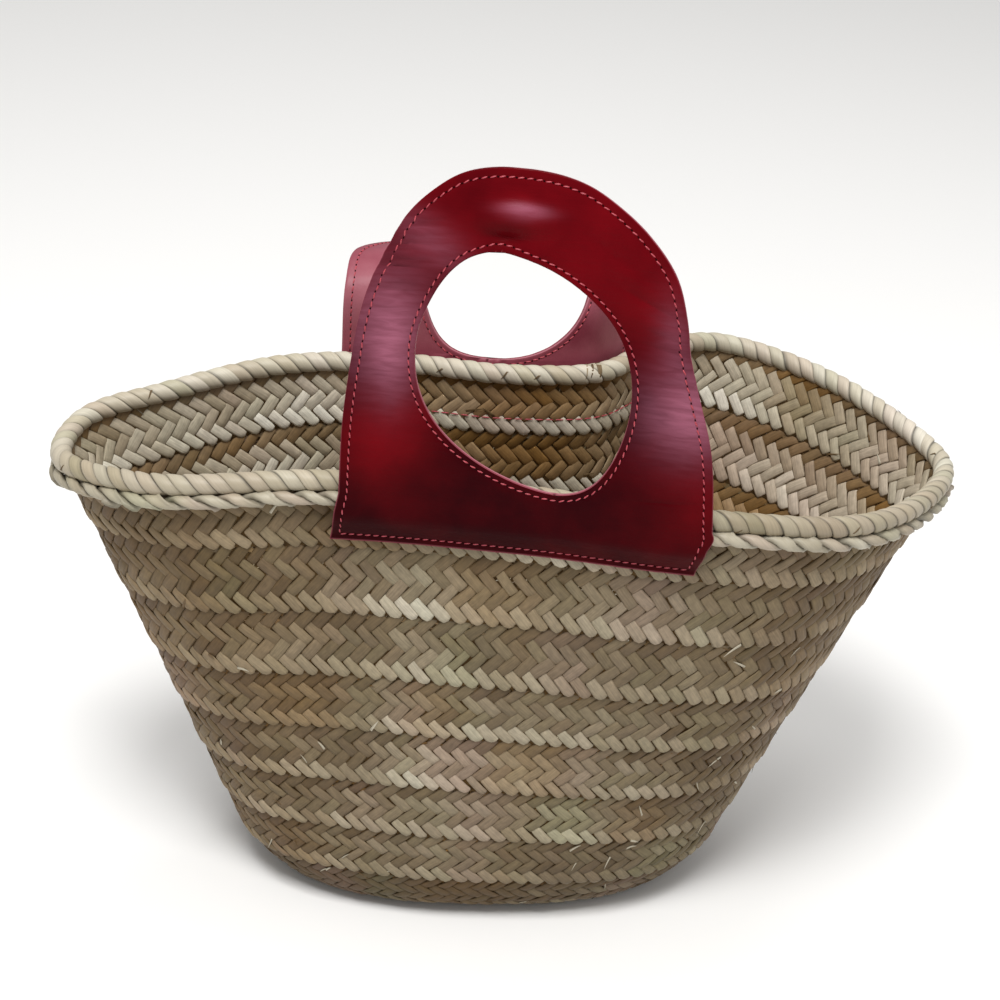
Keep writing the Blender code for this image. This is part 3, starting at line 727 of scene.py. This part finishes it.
def leatherSurface(handle):
    # returns a function that gives a point of the handle from its place across and along the leather
    side = handle["side"]
    middle = middleOf(side) - side * handle["place"]
    out = outOfRim(middle)
    up = np.array([0.0, 0.0, 1.0])
    steps = np.linspace(0, 1, 400)
    lean = np.radians(smoothTable(handle["lean"], 1, steps))[:, None]
    length = np.diff(steps, prepend=0)[:, None] * leather["standing"]
    path = np.cumsum((np.sin(lean) * out + np.cos(lean) * up) * length, axis=0)
    facing = np.cos(lean) * out - np.sin(lean) * up
    steps = steps * leather["standing"]

    def offWall(along):
        onCord = cordLift + leather["cordRadius"] + leather["leatherGap"]
        onStraw = bag["wall"] / 2 + leather["ledge"] + leather["leatherGap"]
        t = np.clip(1 - (-along - cordFall - leather["cordRadius"]) / leather["ramp"], 0, 1)
        return onStraw + (onCord - onStraw) * t * t * (3 - 2 * t)

    def inner(across, along):
        turn = (middle - side * across) / rimRound
        top, down, outward = (alongRim(turn, values) for values in (rimTop, rimDown, unit(rimOut)))
        low = np.minimum(along, 0)
        start = top - down * low[..., None] + outward * offWall(low)[..., None]
        high = np.maximum(along, 0)
        risen = np.stack([np.interp(high, steps, path[:, i]) for i in range(3)], axis=-1)
        face = np.stack([np.interp(high, steps, facing[:, i]) for i in range(3)], axis=-1)
        still = (along > 0)[..., None]
        creases = patches(handle["creases"], across, along) * leather["creased"]
        relief = (patches(handle["relief"], across, along) + creases) / 1000 * (along > -0.004)
        return start + np.where(still, risen, 0) + face * relief[..., None]

    def place(across, along, lift):
        across, along = np.broadcast_arrays(np.asarray(across, float), np.asarray(along, float))
        wide = inner(across + 0.001, along) - inner(across - 0.001, along)
        tall = inner(across, along + 0.001) - inner(across, along - 0.001)
        return inner(across, along) + unit(np.cross(wide, tall)) * -side * np.asarray(lift)[..., None]

    return place


def leatherCut(handle, inSewn, inHole, inArch):
    # rows across the leather: left edge, left and right of the hole, right edge, place along
    low = leather["holeAboveEdge"] - handle["sewn"]
    high = low + leather["holeHeight"]
    middle = (low + high) / 2
    turns = math.pi * np.arange(1, inHole) / inHole
    along = np.concatenate([
        np.linspace(-handle["sewn"], low, inSewn + 1),
        middle - leather["holeHeight"] / 2 * np.cos(turns),
        high + (leather["standing"] - high) * np.sin(math.pi / 2 * np.arange(inArch + 1) / inArch)])
    opening = np.concatenate([np.zeros(inSewn + 1), np.sin(turns) ** handle["taper"], np.zeros(inArch + 1)])
    rise = np.where(along > 0, along / leather["standing"], along / handle["sewn"])
    # read by this key the outline rounds off smoothly at the crest
    key = lambda rise: np.where(rise < 0, rise - 1, -np.sqrt(np.maximum(1 - rise, 0)))
    outline = [(float(key(np.array(row[0]))), row[1], row[2]) for row in handle["outline"]]
    left = smoothTable(outline, 1, key(rise)) * leather["width"] / 2
    right = smoothTable(outline, 2, key(rise)) * leather["width"] / 2
    t = np.clip((along - middle) / (leather["holeHeight"] / 2), -1, 1)
    centre = (left + right) / 2 - handle["skew"] * t ** 3
    crown = along > high
    first = np.argmax(crown)
    middleShare = (centre[first] - left[first]) / (right[first] - left[first])
    centre[crown] = left[crown] + middleShare * (right - left)[crown]
    gap = opening * leather["holeWidth"] / 2
    return left, centre - gap, centre + gap, right, along, opening > 0


def resample(line, step):
    gone = np.append(0, np.cumsum(np.linalg.norm(np.diff(line, axis=0), axis=1)))
    count = max(int(round(gone[-1] / step)), 2)
    at = (np.arange(count) + 0.5) / count * gone[-1]
    return np.column_stack([np.interp(at, gone, line[:, i]) for i in range(2)])


def offsetLine(line, distance):
    # the line moved to its left by a distance
    run = unit(np.gradient(line, axis=0))
    return line + np.column_stack([-run[:, 1], run[:, 0]]) * distance


stitch = {"step": 0.0047, "long": 0.00175, "thick": 0.00048, "skewed": 0.20, "sunk": 0.0002, "hole": 0.0006,
          "fromEdge": 0.0048, "fromHole": 0.0032}


def seamLines(handle):
    # the three rows of stitches in the leather's own plane: round the edge, along the bottom, round the hole
    left, holeLeft, holeRight, right, along, _ = leatherCut(handle, 40, 120, 120)
    edge = np.vstack([np.column_stack([right, along]), np.column_stack([left, along])[::-1]])
    edge = resample(edge, 0.001)
    edge = offsetLine(edge, stitch["fromEdge"])
    low = -handle["sewn"] + stitch["fromEdge"]
    high = leather["standing"] - stitch["fromEdge"] * 0.9
    edge = edge[(edge[:, 1] > low) & (edge[:, 1] < high)]
    bottom = np.column_stack([np.linspace(edge[-1, 0], edge[0, 0], 60), np.full(60, low)])
    inHole = (along > along[0]) & (holeRight > holeLeft)
    rightSide, leftSide = (np.column_stack([column, along])[inHole] for column in (holeRight, holeLeft))
    hole = np.vstack([rightSide, leftSide[::-1]])
    hole = resample(np.vstack([hole, hole[:1]]), 0.001)
    hole = offsetLine(hole, -stitch["fromHole"])
    hole = np.vstack([hole, hole[:1]])
    return [resample(edge, stitch["step"]), resample(bottom, stitch["step"]), resample(hole, stitch["step"])]


def nearest(points, lines):
    # distance of each point to the nearest point of the lines
    spots = points.reshape(-1, 2)
    found = np.full(len(spots), 1.0)
    for line in lines:
        for start in range(0, len(spots), 4000):  # in parts, to spare memory
            part = slice(start, start + 4000)
            gap = np.linalg.norm(spots[part, None] - line[None], axis=2).min(axis=1)
            found[part] = np.minimum(found[part], gap)
    return found.reshape(points.shape[:-1])


def makeLayer(handle, name, node, lift, grid, material):
    # one layer of the leather: two grids of points, one for each limb, that meet over and under the hole
    surface = leatherSurface(handle)
    inSewn, inHole, inArch, columns = grid
    left, holeLeft, holeRight, right, along, inHoleRow = leatherCut(handle, inSewn, inHole, inArch)
    rows = len(along)
    t = np.linspace(0, 1, columns + 1)
    t = t - np.sin(2 * math.pi * t) / (2 * math.pi) * leather["crowded"]  # closer together at both edges
    middle, gap = ((holeLeft + holeRight) / 2)[:, None], ((holeRight - holeLeft) / 2)[:, None]
    power = 1 + 3 * (1 - gap / leather["holeWidth"] * 2) ** 3
    limbs = [left[:, None] + (middle - left[:, None]) * t - gap * t ** power,
             right[:, None] + (middle - right[:, None]) * (1 - t) + gap * (1 - t) ** power]
    across = np.concatenate(limbs, axis=1)
    flat = np.stack([across, np.repeat(along[:, None], across.shape[1], axis=1)], axis=-1)
    edges = [np.column_stack([column, along]) for column in (left, right)]
    edges += [np.column_stack([column[inHoleRow], along[inHoleRow]]) for column in (holeLeft, holeRight)]
    bottom = np.column_stack([np.linspace(left[0], right[0], 200), np.full(200, along[0])])
    top = np.column_stack([np.linspace(left[-1], right[-1], 60), np.full(60, along[-1])])
    fromEdge = nearest(flat, [resample(edge, 0.0006) for edge in edges] + [bottom, top])
    fromSeam = nearest(flat, [resample(line, 0.0008) for line in seamLines(handle)])
    dip = leather["seamDip"] * np.exp(-(fromSeam / leather["seamWide"]) ** 2)
    soft = leather["softDrop"] * (1 - np.clip(fromEdge / leather["soft"], 0, 1)) ** 2
    # the seams sink into the side that shows: the outer side of the panel, the inner side of the lining
    isPanel = lift > 0
    under = surface(flat[..., 0], flat[..., 1], lift + (not isPanel) * (dip + soft * 0.8))
    over = surface(flat[..., 0], flat[..., 1], lift + leather["thick"] - isPanel * (dip + soft))
    size = rows * across.shape[1]
    points = np.vstack([under.reshape(-1, 3), over.reshape(-1, 3)])
    index = np.arange(size).reshape(rows, -1)
    closed = ~inHoleRow
    index[closed, columns + 1] = index[closed, columns]  # where there's no hole the two limbs share a point
    faces = []
    for limb in (0, columns + 1):
        a, b = index[:-1, limb:limb + columns + 1], index[1:, limb:limb + columns + 1]
        faces.append(np.stack([a[:, :-1], a[:, 1:], b[:, 1:], b[:, :-1]], axis=-1).reshape(-1, 4))
    faces = np.concatenate(faces)
    ends = np.concatenate([faces[:, [0, 1]], faces[:, [1, 2]], faces[:, [2, 3]], faces[:, [3, 0]]])
    key = np.sort(ends, axis=1)
    _, first, times = np.unique(key[:, 0] * size + key[:, 1], return_index=True, return_counts=True)
    rim = ends[first[times == 1]]
    over4 = faces + size
    sides = np.column_stack([rim[:, 0], rim[:, 1], rim[:, 1] + size, rim[:, 0] + size])
    faces = np.vstack([faces[:, ::-1], over4, sides])
    if handle["side"] > 0:
        faces = faces[:, ::-1]
    used = np.zeros(len(points), bool)
    used[faces.ravel()] = True
    renumber = np.cumsum(used) - 1
    flat = np.vstack([flat.reshape(-1, 2)] * 2)
    cutEdge = np.zeros((2, rows, across.shape[1]))
    cutEdge[:, [0, -1]] = 1
    cutEdge[:, :, [0, -1]] = 1
    cutEdge[:, inHoleRow, columns] = 1
    cutEdge[:, inHoleRow, columns + 1] = 1
    values = {"cutEdge": cutEdge.ravel()}
    for key in ("rubbed", "reddened"):
        values[key] = np.clip(patches(handle[key], flat[:, 0], flat[:, 1]), 0, 1)
    makePiece(name, points[used], renumber[faces], material, [node], uv=flat[used] + (0.5, 0.5),
              values={key: numbers[used] for key, numbers in values.items()})


def leatherFinish(name, settings, edgeColour, grainScale, grainStrength):
    # what both leathers share: the raw colour of the cut edges over the dye, and the grain
    material = newFinish(name, settings)
    hideMap = addNode(material, "UVMap", {"uv_map": "leafUV"})
    cutEdge = addNode(material, "Attribute", {"attribute_name": "cutEdge"})
    edged = addNode(material, "Mix", {"data_type": "RGBA", 7: linear(edgeColour)},
                    {0: cutEdge.outputs["Fac"]})
    grain = addNode(material, "TexVoronoi", {"Scale": grainScale}, {"Vector": hideMap})
    grainBump = addNode(material, "Bump", {"Strength": grainStrength, "Distance": 0.0002},
                        {"Height": grain.outputs["Distance"]})
    join(material, edged.outputs[2], "Base Color")
    return material, hideMap, edged, grainBump


# cowhide, chrome-tanned, dyed dark oxblood and glazed: deep red, soft highlights and a painted mauve sheen,
# grain about 1.3 mm
glazedOxbloodLeather, hideMap, edged, grainBump = leatherFinish(
    "glazedOxbloodLeather", {"Roughness": 0.28, "IOR": 1.5, "Specular IOR Level": 0.025},
    "#84404a", 780.0, 0.15)
reddened = addNode(glazedOxbloodLeather, "Attribute", {"attribute_name": "reddened"})
cloud = addNode(glazedOxbloodLeather, "TexNoise", {"Scale": 22.0, "Detail": 4.0, "Roughness": 0.55},
                {"Vector": hideMap})  # dye clouds about 30 mm
clouded = addNode(glazedOxbloodLeather, "MapRange", {1: 0.3, 2: 0.7, 3: -0.10, 4: 0.16}, {0: cloud})
redness = addNode(glazedOxbloodLeather, "Math", {"operation": "ADD"},
                  {0: reddened.outputs["Fac"], 1: clouded})
dye = addNode(glazedOxbloodLeather, "ValToRGB",
              {"stops": ((0.0, "#2c0206"), (0.35, "#4e040a"), (0.7, "#6e0710"), (1.0, "#860c18"))},
              {0: redness})
# painted highlight: a mauve sheen mixed over the dye where the leather would catch the light
rubbed = addNode(glazedOxbloodLeather, "Attribute", {"attribute_name": "rubbed"})
# the painted sheen breaks up along wrinkles about 3 mm apart
wrinkle = drawnNoise(glazedOxbloodLeather, hideMap, (60, 330, 1), {"Detail": 4.0, "Distortion": 0.6}, -0.25)
wrinkled = addNode(glazedOxbloodLeather, "MapRange", {1: 0.35, 2: 0.65, 3: 0.80, 4: 1.18}, {0: wrinkle})
sheen = addNode(glazedOxbloodLeather, "Math", {"operation": "MULTIPLY", "use_clamp": True},
                {0: rubbed.outputs["Fac"], 1: wrinkled})
paintedSheenColour = addNode(glazedOxbloodLeather, "Mix", {"data_type": "RGBA", 7: linear("#9c5c70")}, {0: sheen, 6: dye})
join(glazedOxbloodLeather, paintedSheenColour.outputs[2], 6, edged)
# fine creases about 2 mm apart
crease = drawnNoise(glazedOxbloodLeather, hideMap, (70, 420, 1), {"Detail": 3.0}, 0.12)
creaseBump = addNode(glazedOxbloodLeather, "Bump", {"Strength": 0.30, "Distance": 0.0007},
                     {"Height": crease, "Normal": grainBump})
join(glazedOxbloodLeather, creaseBump, "Normal")

# the lining: thinner split leather in a mauve red, with a duller finish
mauveLiningLeather, hideMap, edged, grainBump = leatherFinish(
    "mauveLiningLeather", {"Roughness": 0.45, "IOR": 1.5, "Specular IOR Level": 0.3}, "#9c5c66", 700.0, 0.2)
cloud = addNode(mauveLiningLeather, "TexNoise", {"Scale": 18.0, "Detail": 4.0}, {"Vector": hideMap})
dye = addNode(mauveLiningLeather, "ValToRGB",
              {"stops": ((0.35, "#722a38"), (0.52, "#86404c"), (0.7, "#965660"))}, {0: cloud})
join(mauveLiningLeather, dye, 6, edged)
join(mauveLiningLeather, grainBump, "Normal")

for handle in (frontHandle, backHandle):
    node = "handle_" + handle["name"]
    makeLayer(handle, node + "_lining_leather", node + "_lining", 0.0, leather["liningGrid"],
              mauveLiningLeather)
    makeLayer(handle, node + "_panel_leather", node + "_panel", leather["thick"] + leather["seatGap"] * 0.5,
              leather["panelGrid"], glazedOxbloodLeather)

# stitches


def modelStitch():
    # one stitch: a short fat thread between two holes
    bpy.ops.object.select_all(action="DESELECT")
    bpy.ops.mesh.primitive_uv_sphere_add(segments=6, ring_count=5, radius=1, location=(0, 0, 0))
    points, faces = takeShape(bpy.context.object)
    # the sphere's faces can come in another order in each run, so they are put in one order here
    starts = [face.index(min(face)) for face in faces]
    faces = sorted(face[start:] + face[:start] for face, start in zip(faces, starts))
    return points[:, [2, 0, 1]], faces  # its poles lie along the seam


stitchPoints, stitchFaces = modelStitch()

# waxed polyester thread, a clear light red with a soft shine
waxedRedThread = newFinish("waxedRedThread", {"Roughness": 0.45})
threadPlace = addNode(waxedRedThread, "TexCoord")
twistNoise = addNode(waxedRedThread, "TexNoise", {"Scale": 1500.0},
                     {"Vector": threadPlace.outputs["Object"]})
threadTone = addNode(waxedRedThread, "ValToRGB", {"stops": ((0.3, "#8c2432"), (0.7, "#b84a54"))},
                     {0: twistNoise})
join(waxedRedThread, threadTone, "Base Color")

# painted shade: the holes punched for the thread, dark where shade falls into them
stitchHoleShade = newFinish("stitchHoleShade", {"Base Color": linear("#230406"), "Roughness": 0.9,
                                        "Specular IOR Level": 0.05})


def placeStitches(spots, runs, normals, long, thick):
    # a copy of the stitch at every spot
    across = unit(np.cross(normals, runs))
    normals = unit(np.cross(runs, across))
    x, y, z = (column[None, :, None] for column in stitchPoints.T)
    points = (spots[:, None] + runs[:, None] * (x * long) + across[:, None] * (y * thick)
              + normals[:, None] * (z * thick))
    return points.reshape(-1, 3), repeatFaces(stitchFaces, len(stitchPoints), len(spots))


def makeStitches(handle, name, lift, node):
    surface = leatherSurface(handle)
    spots, runs, normals = [], [], []
    for line in seamLines(handle):
        run = unit(np.gradient(line, axis=0))
        place = surface(line[:, 0], line[:, 1], np.full(len(line), lift))
        moved = line + run * 0.0005
        ahead = surface(moved[:, 0], moved[:, 1], np.full(len(line), lift))
        over = surface(line[:, 0], line[:, 1], np.full(len(line), lift + 0.0005))
        spots.append(place)
        runs.append(unit(ahead - place))
        normals.append(unit(over - place))
    spots, runs, normals = np.vstack(spots), np.vstack(runs), np.vstack(normals)
    skewed = unit(runs + np.cross(normals, runs) * stitch["skewed"])
    points, faces = placeStitches(spots, skewed, normals, stitch["long"], stitch["thick"])
    makePiece("stitches_" + name, points, faces, waxedRedThread, [node])
    points, faces = placeStitches(spots + runs * stitch["step"] / 2, runs, normals, stitch["hole"],
                                  stitch["thick"])
    makePiece("stitch_holes_" + name, points, faces, stitchHoleShade, [node])


for handle in (frontHandle, backHandle):
    total = 2 * leather["thick"] + leather["seatGap"] * 0.5
    for face, layer, lift in (("_outside", "panel", total - stitch["sunk"]),
                              ("_inside", "lining", stitch["sunk"])):
        makeStitches(handle, handle["name"] + face, lift, "handle_" + handle["name"] + "_" + layer)

# sewing thread inside the wall

threadLine = {"step": 0.0062, "long": 0.0027, "thick": 0.00040, "sink": 0.0002, "low": 0.0295}
knot = {"turns": ((1.0, 0.1, 0.5), (0.3, 0.1, -1.0), (-0.8, 0.2, 0.7)), "facing": (0.0, -1.0, 0.1),
        "apart": 0.0006, "long": 0.0019, "thick": 0.0008}


def sewInside(handle):
    # the handle's bottom seam shows inside the bag as one long row of thread
    left, right = (row * leather["width"] / 2 for row in handle["outline"][0][1:])
    across = np.arange(left + stitch["fromEdge"], right - stitch["fromEdge"], threadLine["step"])
    middle = middleOf(handle["side"]) - handle["side"] * handle["place"]
    share = threadLine["low"] / wallLength
    inCourse = courseAt(share) % 1
    lift = -(weave["firstLift"] + weave["ledge"] * inCourse ** 1.5 + weave["crown"] + threadLine["sink"])

    def spot(across, lift):
        turn = (middle - handle["side"] * across) / rimRound
        return onWall(turn, np.full(len(across), share), np.full(len(across), lift))

    place = spot(across, lift)
    run, normal = unit(spot(across + 0.001, lift) - place), unit(spot(across, lift - 0.001) - place)
    points, faces = placeStitches(place, run, normal, threadLine["long"], threadLine["thick"])
    makePiece("thread_inside_" + handle["name"], points, faces, waxedRedThread,
              ["handle_" + handle["name"] + "_panel"])
    return place[0] if across[0] < 0 else place[-1]


def tieKnot(name, place, material, node):
    # three small turns of thread pulled tight
    runs = unit(np.array(knot["turns"]))
    facing = np.tile(knot["facing"], (len(runs), 1))
    points, faces = placeStitches(place + runs * knot["apart"], runs, facing, knot["long"], knot["thick"])
    makePiece(name, points, faces, material, [node])


# the thread's end was dyed another batch, a bright orange
orangeThreadEnd = newFinish("orangeThreadEnd", {"Base Color": linear("#cf5a2c"), "Roughness": 0.5})
sewInside(frontHandle)
tieKnot("thread_knot_inside", sewInside(backHandle), orangeThreadEnd, "handle_back_panel")

# loose splits and ends of leaf

splits = {"count": 90, "places": (0.18, 0.45, 0.70, 0.96), "spread": 0.04, "between": (0.06, 0.93),
          "long": (0.006, 0.013), "wide": (0.0003, 0.0009), "thick": 0.00022, "turned": (0.6, 0.3),
          "rise": (0.0003, 0.0022), "lift": 0.0012, "tips": (0.045, 0.90), "overFloor": 0.0005, "dark": 0.3}
# angles in radians round the roll, from outside; the last three ends are the loose strand at the splice
rimEnds = {"count": 26, "splice": 0.062, "apart": (0.0, 0.0035, 0.006), "toFront": 3.0, "slant": 0.0035,
           "start": ((2.2, 3.6), (1.3, 1.5, 1.2)), "sweep": ((0.4, 0.9), (2.4, 1.6, 2.0)),
           "wide": ((0.0004, 0.0008), (0.0016, 0.0007, 0.0005)), "lift": 0.00052,
           "light": (0.05, (0.16, 0.0, 0.5)), "brown": 0.3}


def modelSplit():
    # a thin strip, pointed at its far end, 1 long and 2 wide
    bpy.ops.object.select_all(action="DESELECT")
    bpy.ops.mesh.primitive_cube_add(size=2, location=(0, 0, 0))
    bpy.ops.object.mode_set(mode="EDIT")
    bpy.ops.mesh.select_all(action="SELECT")
    bpy.ops.mesh.subdivide(number_cuts=3)
    bpy.ops.object.mode_set(mode="OBJECT")
    points, faces = takeShape(bpy.context.object)
    along = (points[:, 0] + 1) / 2
    narrow = (1 - 0.85 * along ** 2)[:, None]
    return np.column_stack([along, points[:, 1:] * narrow]), faces


splitPoints, splitFaces = modelSplit()


def finishSplits(name, points, light, tints, node):
    size = len(splitPoints)
    faces = repeatFaces(splitFaces, size, len(points))
    colours = np.repeat(shadeOf(light, tints), size, axis=0)
    uv = np.tile(splitPoints[:, :2] * (0.01, 0.0006), (len(points), 1))
    makePiece(name, points.reshape(-1, 3), faces, plaitedPalmLeaf, [node], uv=uv, colours=colours)


def scatterSplits(name, side, seed):
    # broken leaf ends that stand off the weave a little
    pick = np.random.default_rng(seed)
    count = splits["count"]
    course = pick.integers(0, 8, count)
    place = course + pick.choice(splits["places"], count) + pick.normal(0, splits["spread"], count)
    share = np.clip(courseShare(place), *splits["between"])[:, None]
    inCourse = courseAt(share) % 1
    long, wide = (pick.uniform(*splits[key], count)[:, None] for key in ("long", "wide"))
    angle = pick.choice((-1, 1), count) * pick.normal(*splits["turned"], count)
    angle = (angle + math.pi * pick.integers(0, 2, count))[:, None]
    x, y, z = splitPoints.T
    right = x * long * np.cos(angle) - y * wide * np.sin(angle)
    upward = x * long * np.sin(angle) + y * wide * np.cos(angle)
    rise = pick.uniform(*splits["rise"], count)[:, None] * x ** 2
    lift = splits["lift"] + weave["ledge"] * inCourse ** 1.5 + rise + z * splits["thick"]
    turn = pick.random(count)[:, None] + side * right / rimRound
    points = onWall(turn, np.clip(share - upward / wallLength, *splits["tips"]), side * lift)
    points[..., 2] = np.maximum(points[..., 2], splits["overFloor"])
    dark = pick.random(count) < splits["dark"]
    finishSplits(name, points, np.where(dark, 0.1, 0.75), {"brown": dark * 0.5}, "straw_body")


def scatterRimEnds():
    # dark ends that show between the wraps of the roll, and the loose strand at its splice
    pick = np.random.default_rng(43)
    count = rimEnds["count"]
    dark = count - len(rimEnds["apart"])
    splice = np.argmin(abs(rimTop[:, 0] - rimEnds["splice"]) + (rimTop[:, 1] < 0)) / bag["columns"]
    turn = np.append(pick.random(dark), splice + np.array(rimEnds["apart"]))[:, None]
    start, sweep, wide = (np.append(pick.uniform(*rimEnds[key][0], dark), rimEnds[key][1])[:, None]
                          for key in ("start", "sweep", "wide"))
    front = (pick.random(count) < 0.5)[:, None] & (np.arange(count) < dark)[:, None]
    start = np.where(front, start - rimEnds["toFront"], start)
    x, y, z = splitPoints.T
    angle = start + sweep * x
    frames = sweepFrames(turn + (y * wide + rimEnds["slant"] * x) / rimRound, 0.0, 0.0)
    points = roundRim(frames, (roll["radius"] + rimEnds["lift"] + z * splits["thick"])[None, :, None], angle)
    light = np.append(np.full(dark, rimEnds["light"][0]), rimEnds["light"][1])
    brown = {"brown": np.full(count, rimEnds["brown"])}
    finishSplits("rim_loose_ends", points, light, brown, "rim_binding")


scatterSplits("leaf_splits_outside", 1, 41)
scatterSplits("leaf_splits_inside", -1, 42)
scatterRimEnds()

# floor, light and camera

view = {"lens": 85.107, "place": (-0.12003, -1.23014, 0.89939), "turned": (62.022, -3.333, -3.893)}
# place, size and power of each lamp
lamps = {"key_softbox": ((-0.28, -1.0, 2.4), 0.9, 56.0), "top_softbox": ((0.3, 0.5, 2.4), 1.4, 16.0),
         "right_fill": ((2.0, -0.9, 1.2), 1.2, 3.0)}
studio = {"floorSize": 80, "floorDrop": 0.0001, "aimHeight": 0.2, "skyLight": 0.50}


def layFloor():
    bpy.ops.object.select_all(action="DESELECT")
    bpy.ops.mesh.primitive_plane_add(size=studio["floorSize"], location=(0, 0, -studio["floorDrop"]))
    floor = bpy.context.object
    floor.name = "studio_floor"
    # heavy white background paper, matt
    paper = newFinish("whiteStudioPaper", {"Base Color": linear("#f0efed"), "Roughness": 0.9,
                                           "Specular IOR Level": 0.1})
    floor.data.materials.append(paper)


def hangLight(name, place, size, power):
    lamp = bpy.data.lights.new(name, "AREA")
    lamp.size, lamp.energy = size, power
    holder = bpy.data.objects.new(name, lamp)
    bpy.context.scene.collection.objects.link(holder)
    holder.location = place
    aim = np.array([0, 0, studio["aimHeight"]]) - np.array(place)
    tip = math.acos(-aim[2] / np.linalg.norm(aim))
    holder.rotation_euler = (tip, 0, math.atan2(aim[1], aim[0]) - math.pi / 2)


layFloor()
for name, (place, size, power) in lamps.items():
    hangLight(name, place, size, power)
world = bpy.data.worlds.new("studio")
world.use_nodes = True
sky = world.node_tree.nodes["Background"].inputs
sky[0].default_value, sky[1].default_value = linear("#ffffff"), studio["skyLight"]
bpy.context.scene.world = world
bpy.context.scene.view_settings.view_transform = "Standard"

camera = bpy.data.objects.new("camera", bpy.data.cameras.new("camera"))
bpy.context.scene.collection.objects.link(camera)
camera.data.lens = view["lens"]
camera.location = view["place"]
camera.rotation_euler = [math.radians(angle) for angle in view["turned"]]
bpy.context.scene.camera = camera
print("light and camera set")
